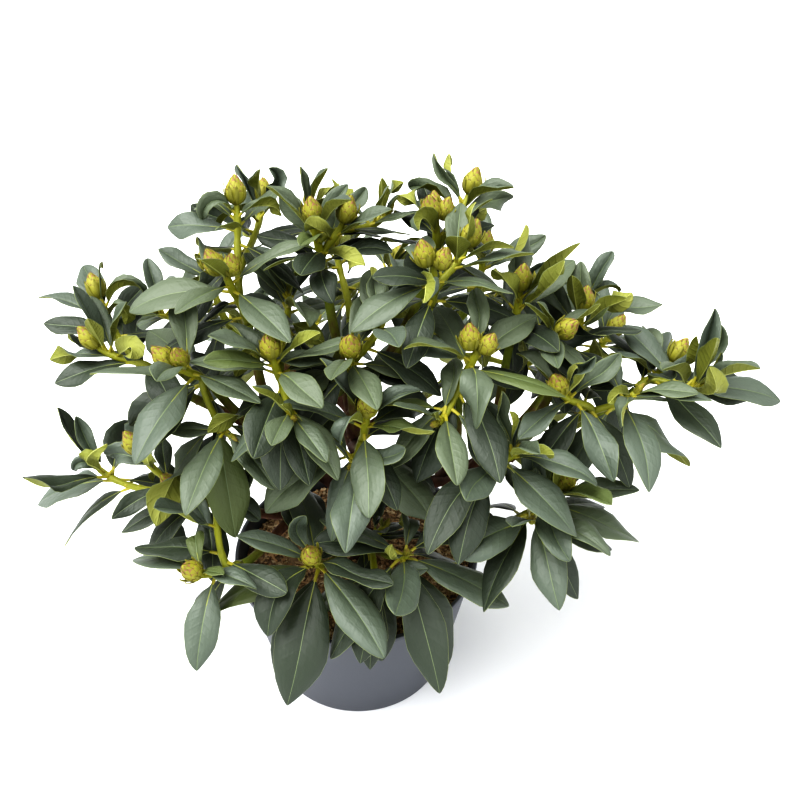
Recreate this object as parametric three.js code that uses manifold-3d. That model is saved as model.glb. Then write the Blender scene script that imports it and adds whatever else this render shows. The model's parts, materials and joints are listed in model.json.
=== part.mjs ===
// A rhododendron in bud, about 0.8 m across, growing in a round nursery container.
// Millimetres, Z up, X to the right and Y to the back. The origin is the centre of the
// container's flat underside.
//
// One table says where each bough ends and where the leafy shoots beyond it end. The limbs are
// tapering tubes along smooth curves, and every leaf follows from its shoot by one seeded rule.

import * as THREE from 'three';
import * as BufferGeometryUtils from 'three/addons/utils/BufferGeometryUtils.js';
import Module from 'manifold-3d';

const wasm = await Module();
wasm.setup();

// ---------------------------------------------------------------- driving dimensions

const GAP = 0.3; // air between two pieces that meet
const TOLERANCE = 0.1; // edges shorter than this are drawn together where leaves are fused on

const POT = {
  height: 170,
  baseRadius: 105,
  rimRadius: 140,
  wall: 2.5,
  floor: 3,
  bandHeight: 7, // the thickened rim
  bandProud: 2, // how far it stands out from the wall
  footChamfer: 2,
  sides: 32,
};

const SOIL = {
  top: 150, // height of the flat patch that the trunk stands on
  flatRadius: 30,
  bump: 2.5, // how far the mulch rises and falls
  rings: 2,
};

const TRUNK = {
  foot: [4, 8, SOIL.top + GAP],
  fork: [6, 2, 232],
  footRadius: 12.5,
  forkRadius: 10.5,
  flare: 9, // extra radius of the root flare, and the height over which it fades
  flareHeight: 16,
  lobes: 5,
  sides: 10,
  steps: 5,
};

// step: length of one straight stretch. follow: how much a limb first keeps to its parent's
// direction. rise: how much it turns up at its end.
const BOUGH = { sides: 6, step: 56, follow: 0.5, rise: 0.5 };
const SHOOT = {
  sides: 3,
  step: 22,
  follow: 0.6,
  rise: 0.8,
  radius: 4.4,
  tipRadius: 3.3,
  firstFork: 0.3, // where the second shoot leaves the first, and how far apart the next ones are
  nextFork: 0.16,
};
const LEAST_STEPS = 3;
const BEND = 0.35; // a curve's handles, as a share of its reach

const LEAF = {
  widthShare: 0.39, // of its length
  stations: [-0.03, 0.36, 0.74, 1], // root, two cross-sections and the tip, as shares of the length
  stalkHalfWidth: 1.6,
  thickness: 2.6,
  petiole: 0.14, // share of the length that is stalk
  free: 0.12, // from here on it keeps clear of its own mass as well
  lowest: 26, // how far below the shoot's tip the lowest leaf of a whorl springs
  highest: 8,
  follow: 0.4, // how much it leans along its shoot
  clearance: 1.2, // extra thickness that a leaf keeps free of other masses
  tries: 12,
  swing: 13, // degrees that a further try turns it aside
};

// The most that chance adds to a leaf, either way: degrees, or a share of its size.
const CHANCE = {
  heading: 12,
  lowestHeading: 4,
  elevation: 7,
  elevationPerTry: 3,
  length: 0.09,
  width: 0.1,
  droop: 0.08,
  roll: 14,
  fold: 0.3,
};
const HIGHEST_LEAF_SHARE = 0.8; // of the lowest leaf's length

const BUD = {
  length: 27,
  radius: 9,
  taper: 0.22, // how much fatter its foot and slimmer its top is
  sunk: 2,
  sides: 6,
  rings: 3,
  lean: 0.85, // how far a side bud leans away from the shoot
  sideSize: 0.88,
  sideHeading: 75, // degrees from the lowest leaf to the first side bud, and to the next one
  sideStep: 120,
};

const GOLDEN_ANGLE = 137.5; // degrees from one leaf of a whorl to the next

// How the leaves of a whorl stand, from the lowest leaf to the highest: their elevation in
// degrees, how much they droop, and how far their halves fold up and their blades twist.
const HABITS = {
  up: { elevation: [15, 66], droop: [0.16, -0.06], fold: [14, 40], twist: 34 },
  spread: { elevation: [-14, 48], droop: [0.32, 0.1], fold: [8, 28], twist: 20 },
  hang: { elevation: [-34, 22], droop: [0.42, 0.24], fold: [6, 14], twist: 10 },
};

// Each row is a bough and the mass it carries. from/at: the limb it leaves and how far along it.
// tip: where it enters its mass. radius: at its seat and at its tip. Each shoot is
// [x, y, z, leaves, flower buds, heading of its lowest leaf in degrees, leaf length, habit]. A
// heading below zero turns the whorl's spiral clockwise.
const CROWN = [
  { name: 'left_tip', from: 'trunk', at: 0.62, tip: [-148, -62, 300], radius: [8.5, 5], shoots: [
    [-173, -70, 323, 6, 1, 200, 88, 'spread'],
    [-268, -20, 308, 7, 0, 178, 112, 'spread'],
    [-210, -50, 356, 5, 1, 150, 66, 'up'],
  ] },
  { name: 'left_shoulder', from: 'trunk', at: 0.86, tip: [-130, -36, 428], radius: [9, 5], shoots: [
    [-158, -50, 464, 8, 2, -255, 98, 'spread'],
    [-112, -72, 396, 6, 0, 262, 118, 'hang'],
  ] },
  { name: 'centre', from: 'trunk', at: 1, tip: [2, -26, 430], radius: [9.5, 5], shoots: [
    [5, -60, 482, 7, 1, 20, 84, 'spread'],
    [36, -36, 506, 6, 0, 200, 84, 'spread'],
  ] },
  { name: 'right_low', from: 'trunk', at: 0.78, tip: [222, -38, 386], radius: [9, 5], shoots: [
    [276, -42, 424, 7, 0, -325, 98, 'hang'],
    [200, -62, 440, 6, 1, 318, 84, 'spread'],
  ] },
  { name: 'inner_front', from: 'trunk', at: 0.5, tip: [10, -66, 244], radius: [7.5, 4.8], shoots: [
    [34, -70, 272, 6, 0, 60, 62, 'spread'],
    [26, -128, 250, 5, 0, 258, 104, 'hang'],
  ] },
  { name: 'back_mid', from: 'trunk', at: 0.9, tip: [-6, 128, 400], radius: [9, 5], shoots: [
    [-22, 176, 462, 6, 1, 100, 88, 'spread'],
    [42, 226, 414, 6, 1, 60, 98, 'spread'],
  ] },

  { name: 'far_front_left', from: 'left_tip', at: 0.42, tip: [-108, -122, 272], radius: [6.5, 4.8], shoots: [
    [-140, -160, 300, 3, 1, -265, 96, 'hang'],
    [-128, -108, 338, 5, 0, 80, 84, 'up'],
  ] },
  { name: 'left_wing', from: 'left_shoulder', at: 0.72, tip: [-196, 8, 412], radius: [6.5, 4.8], shoots: [
    [-254, 20, 436, 7, 1, 185, 84, 'up'],
    [-262, 78, 458, 7, 1, 172, 76, 'up'],
  ] },
  { name: 'left_top', from: 'left_shoulder', at: 0.55, tip: [-98, 8, 470], radius: [7, 5], shoots: [
    [-112, 0, 533, 8, 2, 180, 92, 'spread'],
    [-105, 58, 574, 7, 1, -180, 70, 'spread'],
    [-92, 128, 540, 6, 1, 100, 76, 'up'],
  ] },
  { name: 'front_left_high', from: 'left_shoulder', at: 0.46, tip: [-58, -52, 424], radius: [6.5, 4.8], shoots: [
    [-66, -60, 480, 7, 1, 30, 84, 'spread'],
    [-46, -104, 442, 6, 0, 190, 84, 'spread'],
    [-60, 40, 485, 6, 0, 220, 86, 'spread'],
  ] },
  { name: 'top_mid', from: 'centre', at: 0.6, tip: [-24, 42, 506], radius: [7, 5], shoots: [
    [-31, 40, 563, 6, 1, 122, 74, 'up'],
    [-4, 52, 558, 6, 1, 60, 76, 'up'],
    [-44, 112, 545, 5, 0, 100, 66, 'up'],
    [36, 92, 545, 5, 0, 30, 70, 'up'],
  ] },
  { name: 'right_top', from: 'centre', at: 0.74, tip: [78, -8, 500], radius: [6.5, 4.8], shoots: [
    [80, -20, 552, 7, 2, 200, 84, 'spread'],
    [112, 14, 552, 6, 1, 330, 76, 'up'],
  ] },
  { name: 'front_centre', from: 'centre', at: 0.5, tip: [12, -74, 382], radius: [6.5, 4.8], shoots: [
    [20, -92, 438, 8, 1, 275, 86, 'spread'],
    [6, -112, 392, 5, 0, 235, 112, 'hang'],
  ] },
  { name: 'top_right', from: 'centre', at: 0.66, tip: [82, 56, 506], radius: [7, 5], shoots: [
    [85, 60, 560, 8, 3, 185, 80, 'up'],
    [118, 98, 565, 6, 1, 25, 74, 'up'],
  ] },
  { name: 'right_front', from: 'right_low', at: 0.42, tip: [106, -56, 438], radius: [7, 5], shoots: [
    [120, -60, 488, 8, 2, 350, 96, 'spread'],
    [84, -98, 432, 6, 0, 215, 92, 'spread'],
  ] },
  { name: 'right_shoulder', from: 'right_low', at: 0.56, tip: [158, 6, 446], radius: [6.5, 4.8], shoots: [
    [166, 20, 502, 7, 1, 40, 98, 'up'],
    [200, -20, 478, 5, 1, 330, 76, 'spread'],
  ] },
  { name: 'right_high', from: 'right_low', at: 0.7, tip: [222, 24, 424], radius: [6, 4.8], shoots: [
    [231, 32, 471, 6, 1, 28, 80, 'up'],
    [246, 92, 448, 6, 1, 60, 84, 'spread'],
  ] },
  { name: 'right_tip', from: 'right_low', at: 0.88, tip: [290, 4, 394], radius: [6, 4.8], shoots: [
    [330, 30, 412, 7, 1, 60, 78, 'up'],
    [350, -12, 408, 8, 0, 355, 100, 'up'],
  ] },
  { name: 'right_inner', from: 'right_low', at: 0.34, tip: [132, -84, 366], radius: [6, 4.6], shoots: [
    [158, -104, 404, 7, 0, 300, 98, 'spread'],
  ] },
  { name: 'low_front_left', from: 'inner_front', at: 0.5, tip: [-28, -108, 256], radius: [6, 4.6], shoots: [
    [-35, -130, 286, 8, 1, 262, 124, 'hang'],
  ] },
  { name: 'low_front_right', from: 'inner_front', at: 0.66, tip: [46, -98, 258], radius: [6, 4.6], shoots: [
    [56, -122, 286, 8, 0, 290, 118, 'hang'],
  ] },
  { name: 'low_right', from: 'inner_front', at: 0.34, tip: [166, -84, 296], radius: [6, 4.6], shoots: [
    [206, -90, 345, 7, 1, 330, 104, 'spread'],
    [176, -120, 330, 6, 0, 290, 96, 'spread'],
  ] },
  { name: 'back_left', from: 'back_mid', at: 0.5, tip: [-136, 112, 396], radius: [7, 5], shoots: [
    [-160, 148, 452, 6, 1, 120, 88, 'spread'],
    [-224, 140, 400, 6, 1, 160, 96, 'spread'],
  ] },
  { name: 'back_right', from: 'back_mid', at: 0.62, tip: [126, 118, 420], radius: [7, 5], shoots: [
    [140, 136, 478, 6, 1, 70, 84, 'spread'],
    [196, 188, 404, 6, 1, 50, 96, 'spread'],
  ] },
  { name: 'back_low_left', from: 'back_mid', at: 0.3, tip: [-94, 186, 280], radius: [6.5, 4.8], shoots: [
    [-150, 232, 318, 6, 1, 130, 104, 'spread'],
    [-58, 262, 306, 6, 0, 95, 108, 'hang'],
  ] },
  { name: 'back_low_right', from: 'back_mid', at: 0.36, tip: [112, 184, 284], radius: [6.5, 4.8], shoots: [
    [116, 252, 320, 6, 1, 80, 104, 'spread'],
    [214, 186, 300, 6, 0, 35, 108, 'hang'],
  ] },
  { name: 'back_far_right', from: 'right_low', at: 0.5, tip: [226, 96, 344], radius: [6, 4.8], shoots: [
    [288, 126, 380, 7, 1, 35, 96, 'spread'],
  ] },
];

// ---------------------------------------------------------------- small helpers

const UP = new THREE.Vector3(0, 0, 1);
const DOWN = new THREE.Vector3(0, 0, -1);
const SIDEWAYS = new THREE.Vector3(0.31, 0.95, 0.05); // no limb or bud points this way
const vector = (xyz) => new THREE.Vector3(...xyz);
const unit = (v) => v.clone().normalize();
const sum = (a, b, share = 1) => a.clone().addScaledVector(b, share);
const mix = (range, share) => range[0] + (range[1] - range[0]) * share;
const heading = (degrees, elevation = 0) => {
  const [a, e] = [degrees, elevation].map(THREE.MathUtils.degToRad);
  return new THREE.Vector3(Math.cos(a) * Math.cos(e), Math.sin(a) * Math.cos(e), Math.sin(e));
};

// A number from 0 to 1 that depends only on the five whole numbers given.
function draw(mass, shoot, leaf, attempt, which) {
  const x = Math.sin(mass * 12.9898 + shoot * 78.233 + leaf * 37.719 + attempt * 9.151 + which * 4.581);
  const y = x * 43758.5453;
  return y - Math.floor(y);
}

// A closed geometry of three.js whose points are moved by place(x, y, z), as merged vertices.
function shaped(geometry, place) {
  const at = geometry.attributes.position;
  for (let i = 0; i < at.count; i++) {
    const p = place(at.getX(i), at.getY(i), at.getZ(i));
    at.setXYZ(i, p.x, p.y, p.z);
  }
  geometry.deleteAttribute('normal');
  geometry.deleteAttribute('uv');
  return BufferGeometryUtils.mergeVertices(geometry, 1e-3);
}

function solidOf(geometry) {
  const mesh = new wasm.Mesh({
    numProp: 3,
    vertProperties: new Float32Array(geometry.attributes.position.array),
    triVerts: new Uint32Array(geometry.index.array),
  });
  return new wasm.Manifold(mesh);
}

function geometryOf(solid) {
  const { vertProperties, triVerts } = solid.getMesh();
  const geometry = new THREE.BufferGeometry();
  geometry.setAttribute('position', new THREE.BufferAttribute(new Float32Array(vertProperties), 3));
  geometry.setIndex(new THREE.BufferAttribute(new Uint32Array(triVerts), 1));
  return geometry;
}

// The largest body of a solid: loose scraps and the walls of sealed hollows are dropped.
function mainBody(solid) {
  return solid.decompose().reduce((best, body) => (body.volume() > best.volume() ? body : best));
}

// ---------------------------------------------------------------- limbs

// A limb's centre line: it leaves start along lead and turns upwards by rise at its end.
function growth(start, lead, end, rise) {
  const reach = start.distanceTo(end);
  const finish = unit(sum(unit(sum(end, start, -1)), UP, rise));
  return new THREE.CubicBezierCurve3(
    start, sum(start, lead, BEND * reach), sum(end, finish, -BEND * reach), end,
  );
}

// Two directions square to the one given and to each other.
function square(along) {
  const side = unit(new THREE.Vector3().crossVectors(along, SIDEWAYS));
  return { side, lift: new THREE.Vector3().crossVectors(side, along) };
}

// The point at share t of a limb, on the straight stretch of its tube that it falls in.
function onAxis({ curve, steps }, t) {
  const step = Math.min(Math.floor(t * steps), steps - 1);
  const [a, b] = [step, step + 1].map((i) => curve.getPoint(i / steps));
  return a.lerp(b, t * steps - step);
}

// A tapering tube along a curve. radiusAt(t, angle) is its radius; grow widens it for a cut.
function tube({ curve, sides, steps, radiusAt }, grow = 0) {
  const axes = Array.from({ length: steps + 1 }, (_, i) => square(curve.getTangent(i / steps)));
  return shaped(new THREE.CylinderGeometry(1, 1, 1, sides, steps), (x, y, z) => {
    const t = 0.5 - y;
    const { side, lift } = axes[Math.round(t * steps)];
    const radius = radiusAt(t, Math.atan2(x, z)) + grow;
    return curve.getPoint(t).addScaledVector(side, z * radius).addScaledVector(lift, x * radius);
  });
}

function trunkLimb() {
  const { foot, fork, footRadius, forkRadius, flare, flareHeight, lobes, sides, steps } = TRUNK;
  const curve = growth(vector(foot), UP, vector(fork), 1);
  const height = fork[2] - foot[2];
  const radiusAt = (t, angle) => {
    const fade = Math.exp((-t * height) / flareHeight);
    return mix([footRadius, forkRadius], t) + flare * fade * (0.7 + 0.3 * Math.cos(lobes * angle));
  };
  return { curve, sides, steps, radiusAt };
}

function boughLimb(row, parent) {
  const start = onAxis(parent, row.at);
  const end = vector(row.tip);
  const along = row.at < 1 ? start : sum(start, parent.curve.getTangent(1), GAP);
  const lead = unit(sum(unit(sum(end, start, -1)), parent.curve.getTangent(row.at), BOUGH.follow));
  const curve = growth(along, lead, end, BOUGH.rise);
  const steps = Math.max(LEAST_STEPS, Math.round(start.distanceTo(end) / BOUGH.step));
  return { curve, sides: BOUGH.sides, steps, radiusAt: (t) => mix(row.radius, t) };
}

// The first shoot carries on from the bough's tip, and the others fork off it one above another.
function shootLimbs(row, bough) {
  const tangent = bough.curve.getTangent(1);
  const foot = sum(vector(row.tip), tangent, GAP);
  const limbs = [];
  row.shoots.forEach(([x, y, z], i) => {
    const end = new THREE.Vector3(x, y, z);
    const share = SHOOT.firstFork + SHOOT.nextFork * (i - 1);
    const start = i ? onAxis(limbs[0], share) : foot;
    const stem = i ? limbs[0].curve.getTangent(share) : tangent;
    const lead = i ? unit(sum(unit(sum(end, start, -1)), stem, SHOOT.follow)) : tangent;
    const curve = growth(start, lead, end, SHOOT.rise);
    const steps = Math.max(LEAST_STEPS, Math.round(start.distanceTo(end) / SHOOT.step));
    const thick = i ? SHOOT.radius : row.radius[1];
    limbs.push({ curve, sides: SHOOT.sides, steps, radiusAt: (t) => mix([thick, SHOOT.tipRadius], t) });
  });
  return limbs;
}

// ---------------------------------------------------------------- leaves and buds

// Where and how one leaf of a shoot grows. A further attempt turns it a little from its place.
function leafPlan(massIndex, shootIndex, leafIndex, attempt, shoot, stem) {
  const [, , , count, , turn, base, habitName] = shoot;
  const habit = HABITS[habitName];
  const share = count > 1 ? leafIndex / (count - 1) : 0;
  const chance = (which) => draw(massIndex, shootIndex, leafIndex, attempt, which) * 2 - 1;
  const swing = Math.ceil(attempt / 2) * (attempt % 2 ? LEAF.swing : -LEAF.swing);
  const jitter = leafIndex ? CHANCE.heading : CHANCE.lowestHeading;
  const sway = CHANCE.elevation + CHANCE.elevationPerTry * attempt;

  const spiral = Math.sign(turn) * GOLDEN_ANGLE;
  const azimuth = Math.abs(turn) + leafIndex * spiral + swing + jitter * chance(1);
  const elevation = mix(habit.elevation, share) + sway * chance(2);
  const length = base * mix([1, HIGHEST_LEAF_SHARE], share) * (1 + CHANCE.length * chance(3));
  const below = mix([LEAF.lowest, LEAF.highest], share);
  const t = Math.max(LEAF.free, 1 - below / stem.curve.getLength());
  const tangent = stem.curve.getTangent(t);
  const out = unit(sum(heading(azimuth, elevation), tangent, LEAF.follow));
  return {
    root: onAxis(stem, t),
    out,
    bend: unit(sum(DOWN, out, -DOWN.dot(out))),
    length,
    width: length * LEAF.widthShare * (1 + CHANCE.width * chance(4)),
    droop: mix(habit.droop, share) + CHANCE.droop * chance(5),
    roll: THREE.MathUtils.degToRad(CHANCE.roll * chance(6)),
    twist: THREE.MathUtils.degToRad(habit.twist * chance(7)),
    fold: THREE.MathUtils.degToRad(mix(habit.fold, share) * (1 + CHANCE.fold * chance(8))),
  };
}

// Half the blade's width at share s of the leaf: oblong, widest just past the middle.
function halfWidth(leaf, s) {
  const x = (s - LEAF.petiole) / (1 - LEAF.petiole);
  if (x <= 0) return LEAF.stalkHalfWidth;
  return Math.max(LEAF.stalkHalfWidth * (1 - x), (leaf.width / 2) * Math.sin(Math.PI * x ** 1.15) ** 0.8);
}

// The leaf's centre line is a parabola, root + length (out s + bend droop s s). Its two halves
// fold up from it, and the section rolls and twists about it.
function leafSection(leaf, s) {
  const { root, out, bend, length, droop, roll, twist, fold } = leaf;
  const centre = root.clone().addScaledVector(out, length * s).addScaledVector(bend, length * droop * s * s);
  const tangent = unit(sum(out, bend, 2 * droop * s));
  const flat = unit(new THREE.Vector3().crossVectors(out, UP));
  const side0 = unit(sum(flat, tangent, -flat.dot(tangent)));
  const lift0 = new THREE.Vector3().crossVectors(side0, tangent);
  const turn = roll + twist * s;
  const side = side0.clone().multiplyScalar(Math.cos(turn)).addScaledVector(lift0, Math.sin(turn));
  const lift = lift0.clone().multiplyScalar(Math.cos(turn)).addScaledVector(side0, -Math.sin(turn));
  return { centre, side, lift, across: Math.cos(fold), upward: Math.sin(fold) };
}

// A leaf as a sphere of 16 faces drawn out between root and tip. Each of its two rings has four
// points: left edge, top of the midrib, right edge and under the midrib.
// from: the first station that is used. extra: thickness added for a clearance test.
function leafGeometry(leaf, from = 0, extra = 0) {
  const stations = LEAF.stations.map((s) => Math.max(s, from));
  const sections = stations.map((s) => leafSection(leaf, s));
  const last = stations.length - 1;
  return shaped(new THREE.SphereGeometry(1, 4, last), (x, y, z) => {
    const ring = last - Math.round((Math.acos(y) / Math.PI) * last);
    const { centre, side, lift, across, upward } = sections[ring];
    if (ring === 0 || ring === last) return centre.clone();
    if (Math.abs(z) > Math.abs(x)) return sum(centre, lift, Math.sign(z) * (LEAF.thickness / 2 + extra));
    const wide = halfWidth(leaf, stations[ring]);
    return sum(sum(centre, side, Math.sign(x) * wide * across), lift, wide * upward);
  });
}

// Flower buds stand on the shoot's tip, the first upright on it and the others leaning away.
function budGeometries(shoot, curve) {
  const [, , , , count, turn] = shoot;
  const axis = curve.getTangent(1);
  return Array.from({ length: count }, (_, i) => {
    const away = heading(Math.abs(turn) + BUD.sideHeading + i * BUD.sideStep);
    const along = i ? unit(sum(axis, away, BUD.lean)) : axis;
    const { side, lift } = square(along);
    const size = i ? BUD.sideSize : 1;
    const foot = sum(curve.getPoint(1), along, -BUD.sunk);
    return shaped(new THREE.SphereGeometry(1, BUD.sides, BUD.rings), (x, y, z) => {
      const swell = size * BUD.radius * (1 - BUD.taper * y);
      return sum(foot, along, (0.5 + 0.5 * y) * size * (BUD.length + BUD.sunk))
        .addScaledVector(side, x * swell).addScaledVector(lift, z * swell);
    });
  });
}

// ---------------------------------------------------------------- clearance

// A geometry's triangles as one array, with its box, for the crossing test.
function shell(geometry) {
  const at = geometry.attributes.position;
  const points = Array.from(geometry.index.array, (i) => [at.getX(i), at.getY(i), at.getZ(i)]);
  geometry.computeBoundingBox();
  return { box: geometry.boundingBox, points };
}

// Whether the segment p-q passes through the triangle a-b-c.
function pierces(p, q, a, b, c) {
  const volume = (u, v, w, x) => {
    const [ax, ay, az] = [v[0] - u[0], v[1] - u[1], v[2] - u[2]];
    const [bx, by, bz] = [w[0] - u[0], w[1] - u[1], w[2] - u[2]];
    const [cx, cy, cz] = [x[0] - u[0], x[1] - u[1], x[2] - u[2]];
    return ax * (by * cz - bz * cy) + ay * (bz * cx - bx * cz) + az * (bx * cy - by * cx);
  };
  if (volume(a, b, c, p) * volume(a, b, c, q) > 0) return false;
  const [u, v, w] = [volume(p, q, a, b), volume(p, q, b, c), volume(p, q, c, a)];
  return (u >= 0 && v >= 0 && w >= 0) || (u <= 0 && v <= 0 && w <= 0);
}

function crosses(one, other) {
  if (!one.box.intersectsBox(other.box)) return false;
  const [p, q] = [one.points, other.points];
  const near = (i) => {
    for (let k = 0; k < 3; k++) {
      const axis = 'xyz'[k];
      const low = Math.min(q[i][k], q[i + 1][k], q[i + 2][k]);
      const high = Math.max(q[i][k], q[i + 1][k], q[i + 2][k]);
      if (low > one.box.max[axis] || high < one.box.min[axis]) return false;
    }
    return true;
  };
  for (let j = 0; j < q.length; j += 3) {
    if (!near(j)) continue;
    for (let i = 0; i < p.length; i += 3) {
      for (let k = 0; k < 3; k++) {
        const next = (k + 1) % 3;
        if (pierces(p[i + k], p[i + next], q[j], q[j + 1], q[j + 2])) return true;
        if (pierces(q[j + k], q[j + next], p[i], p[i + 1], p[i + 2])) return true;
      }
    }
  }
  return false;
}

// ---------------------------------------------------------------- pot and soil

function lathe(points) {
  const profile = points.map(([r, z]) => new THREE.Vector2(r, z));
  const geometry = new THREE.LatheGeometry(profile, POT.sides);
  return shaped(geometry, (x, y, z) => new THREE.Vector3(x, -z, y));
}

// The wall's outer radius at height z.
const potRadius = (z) => mix([POT.baseRadius, POT.rimRadius - POT.bandProud], z / POT.height);

function potGeometry() {
  const { height, wall, floor, bandHeight, rimRadius, footChamfer } = POT;
  const band = height - bandHeight;
  return lathe([
    [0, 0],
    [potRadius(0) - footChamfer, 0],
    [potRadius(footChamfer), footChamfer],
    [potRadius(band), band],
    [rimRadius, band],
    [rimRadius, height],
    [potRadius(height) - wall, height],
    [potRadius(floor) - wall, floor],
    [0, floor],
  ]);
}

// The root ball fills the container. Its top is uneven mulch round a flat patch for the trunk.
function soilGeometry() {
  const inner = (z) => potRadius(z) - POT.wall - GAP;
  const edge = SOIL.top - 3;
  const rings = Array.from({ length: SOIL.rings }, (_, i) => {
    const share = (i + 1) / (SOIL.rings + 1);
    return [mix([inner(edge), SOIL.flatRadius], share), SOIL.top];
  });
  const bottom = POT.floor + GAP;
  const geometry = lathe([
    [0, bottom], [inner(bottom), bottom], [inner(edge), edge], ...rings,
    [SOIL.flatRadius, SOIL.top], [0, SOIL.top],
  ]);
  return shaped(geometry, (x, y, z) => {
    const radius = Math.hypot(x, y);
    const free = z > edge + 1 && radius > SOIL.flatRadius + 1;
    const rise = free ? SOIL.bump * Math.sin(x / 11 + 1.7 * Math.sin(y / 17)) : 0;
    return new THREE.Vector3(x, y, z + rise);
  });
}

// ---------------------------------------------------------------- the whole plant

const MATERIALS = {
  pot: new THREE.MeshStandardMaterial({ color: 0x62646f, roughness: 0.55, metalness: 0 }),
  soil: new THREE.MeshStandardMaterial({ color: 0x7a563c, roughness: 1, metalness: 0 }),
  bark: new THREE.MeshStandardMaterial({ color: 0x6b4a38, roughness: 0.85, metalness: 0 }),
  foliage: new THREE.MeshStandardMaterial({ color: 0x4a5e4c, roughness: 0.6, metalness: 0 }),
};

const plant = new THREE.Group();
function place(name, geometry, material) {
  const mesh = new THREE.Mesh(geometry, MATERIALS[material]);
  mesh.name = name;
  plant.add(mesh);
}

const potShape = potGeometry();
const soilShape = soilGeometry();
place('pot', potShape, 'pot');
place('soil', soilShape, 'soil');

// Trunk and boughs: each is cut clear of every limb before it, which leaves its seat.
const limbs = { trunk: trunkLimb() };
CROWN.forEach((row) => {
  limbs[row.name] = boughLimb(row, limbs[row.from]);
});
const done = [];
Object.entries(limbs).forEach(([name, limb]) => {
  let body = solidOf(tube(limb));
  const room = new THREE.Box3().setFromArray(body.getMesh().vertProperties);
  done.filter((other) => other.box.intersectsBox(room)).forEach((other) => {
    body = body.subtract(other.grown);
  });
  place(name === 'trunk' ? 'trunk' : `bough_${name}`, geometryOf(mainBody(body)), 'bark');
  const grown = tube(limb, GAP);
  grown.computeBoundingBox();
  done.push({ grown: solidOf(grown), box: grown.boundingBox });
});

// Every leaf, bud and twig is kept clear of the limbs, the container and the other masses.
const masses = CROWN.map((row, index) => {
  const stems = shootLimbs(row, limbs[row.name]);
  const buds = row.shoots.flatMap((shoot, i) => budGeometries(shoot, stems[i].curve));
  const parts = [...stems.map((stem) => tube(stem)), ...buds];
  return { row, index, stems, parts, blades: parts.map(shell), wholes: parts.map(shell) };
});
const fixed = [
  ...Object.values(limbs).map((limb) => shell(tube(limb, LEAF.clearance))),
  shell(potShape),
  shell(soilShape),
];

function leafFits(leaf, mass) {
  const whole = shell(leafGeometry(leaf, 0, LEAF.clearance));
  const blade = shell(leafGeometry(leaf, LEAF.free));
  if (fixed.some((limb) => crosses(whole, limb))) return false;
  if (mass.blades.some((taken) => crosses(blade, taken))) return false;
  return !masses.some((other) => other !== mass && other.wholes.some((taken) => crosses(whole, taken)));
}

const mostLeaves = Math.max(...CROWN.flatMap((row) => row.shoots.map((shoot) => shoot[3])));
for (let leafIndex = 0; leafIndex < mostLeaves; leafIndex++) {
  for (const mass of masses) {
    mass.row.shoots.forEach((shoot, shootIndex) => {
      if (leafIndex >= shoot[3]) return;
      for (let attempt = 0; attempt < LEAF.tries; attempt++) {
        const stem = mass.stems[shootIndex];
        const leaf = leafPlan(mass.index, shootIndex, leafIndex, attempt, shoot, stem);
        if (!leafFits(leaf, mass)) continue;
        mass.parts.push(leafGeometry(leaf));
        mass.blades.push(shell(leafGeometry(leaf, LEAF.free)));
        mass.wholes.push(shell(leafGeometry(leaf)));
        return;
      }
    });
  }
}

masses.forEach(({ row, parts }) => {
  const joined = wasm.Manifold.union(parts.map(solidOf)).simplify(TOLERANCE);
  place(`mass_${row.name}`, geometryOf(mainBody(joined)), 'foliage');
});

export default plant;
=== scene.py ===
"""A potted rhododendron in bud: container, mulch, wood, green shoots, leaves and flower buds.

Sizes are in millimetres, as on a drawing, and turn to metres where a mesh is made. The plant
grows by the same seeded rule as its solids: a table gives where the boughs and shoots end, and
every leaf follows from its shoot. More leaves then carry each whorl's spiral on.
"""

import json
import logging
import math
from collections.abc import Callable, Iterable, Sequence
from dataclasses import dataclass, field
from enum import Enum, IntEnum

import bpy
import numpy as np
from mathutils.bvhtree import BVHTree
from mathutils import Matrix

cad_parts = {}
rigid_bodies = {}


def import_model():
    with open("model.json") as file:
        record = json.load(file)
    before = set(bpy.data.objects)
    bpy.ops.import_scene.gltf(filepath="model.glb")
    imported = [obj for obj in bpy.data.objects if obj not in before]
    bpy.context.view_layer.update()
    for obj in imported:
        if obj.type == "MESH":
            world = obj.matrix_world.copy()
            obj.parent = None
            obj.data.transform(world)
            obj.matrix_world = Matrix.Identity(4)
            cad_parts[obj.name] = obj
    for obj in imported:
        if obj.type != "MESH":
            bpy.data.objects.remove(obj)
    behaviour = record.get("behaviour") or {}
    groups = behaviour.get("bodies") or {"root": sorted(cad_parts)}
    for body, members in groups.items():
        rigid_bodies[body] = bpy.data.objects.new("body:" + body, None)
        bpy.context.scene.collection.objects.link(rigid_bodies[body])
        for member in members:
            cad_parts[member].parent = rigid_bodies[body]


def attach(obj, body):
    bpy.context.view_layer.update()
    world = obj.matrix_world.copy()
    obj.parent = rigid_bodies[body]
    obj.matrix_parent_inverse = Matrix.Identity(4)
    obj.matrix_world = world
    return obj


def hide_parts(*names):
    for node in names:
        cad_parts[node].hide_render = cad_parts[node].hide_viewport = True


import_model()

log = logging.getLogger("rhododendron")

Array = np.ndarray
Number = float | Array
Pair = tuple[float, float]
Triple = tuple[float, float, float]

MM = 0.001
BODY = "root"
GOLDEN_ANGLE = 137.5
UP = np.array([0.0, 0.0, 1.0])
DOWN = -UP
SIDEWAYS = np.array([0.31, 0.95, 0.05])  # no limb or bud points this way


# ---------------- small helpers


def unit(vectors: Array) -> Array:
    """Vectors, or an array of them, divided by their lengths."""
    return vectors / np.linalg.norm(vectors, axis=-1, keepdims=True)


def mix(low: Number, high: Number, share: Number) -> Number:
    """The value that lies at a share of the way from low to high."""
    return low + (high - low) * share


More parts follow.
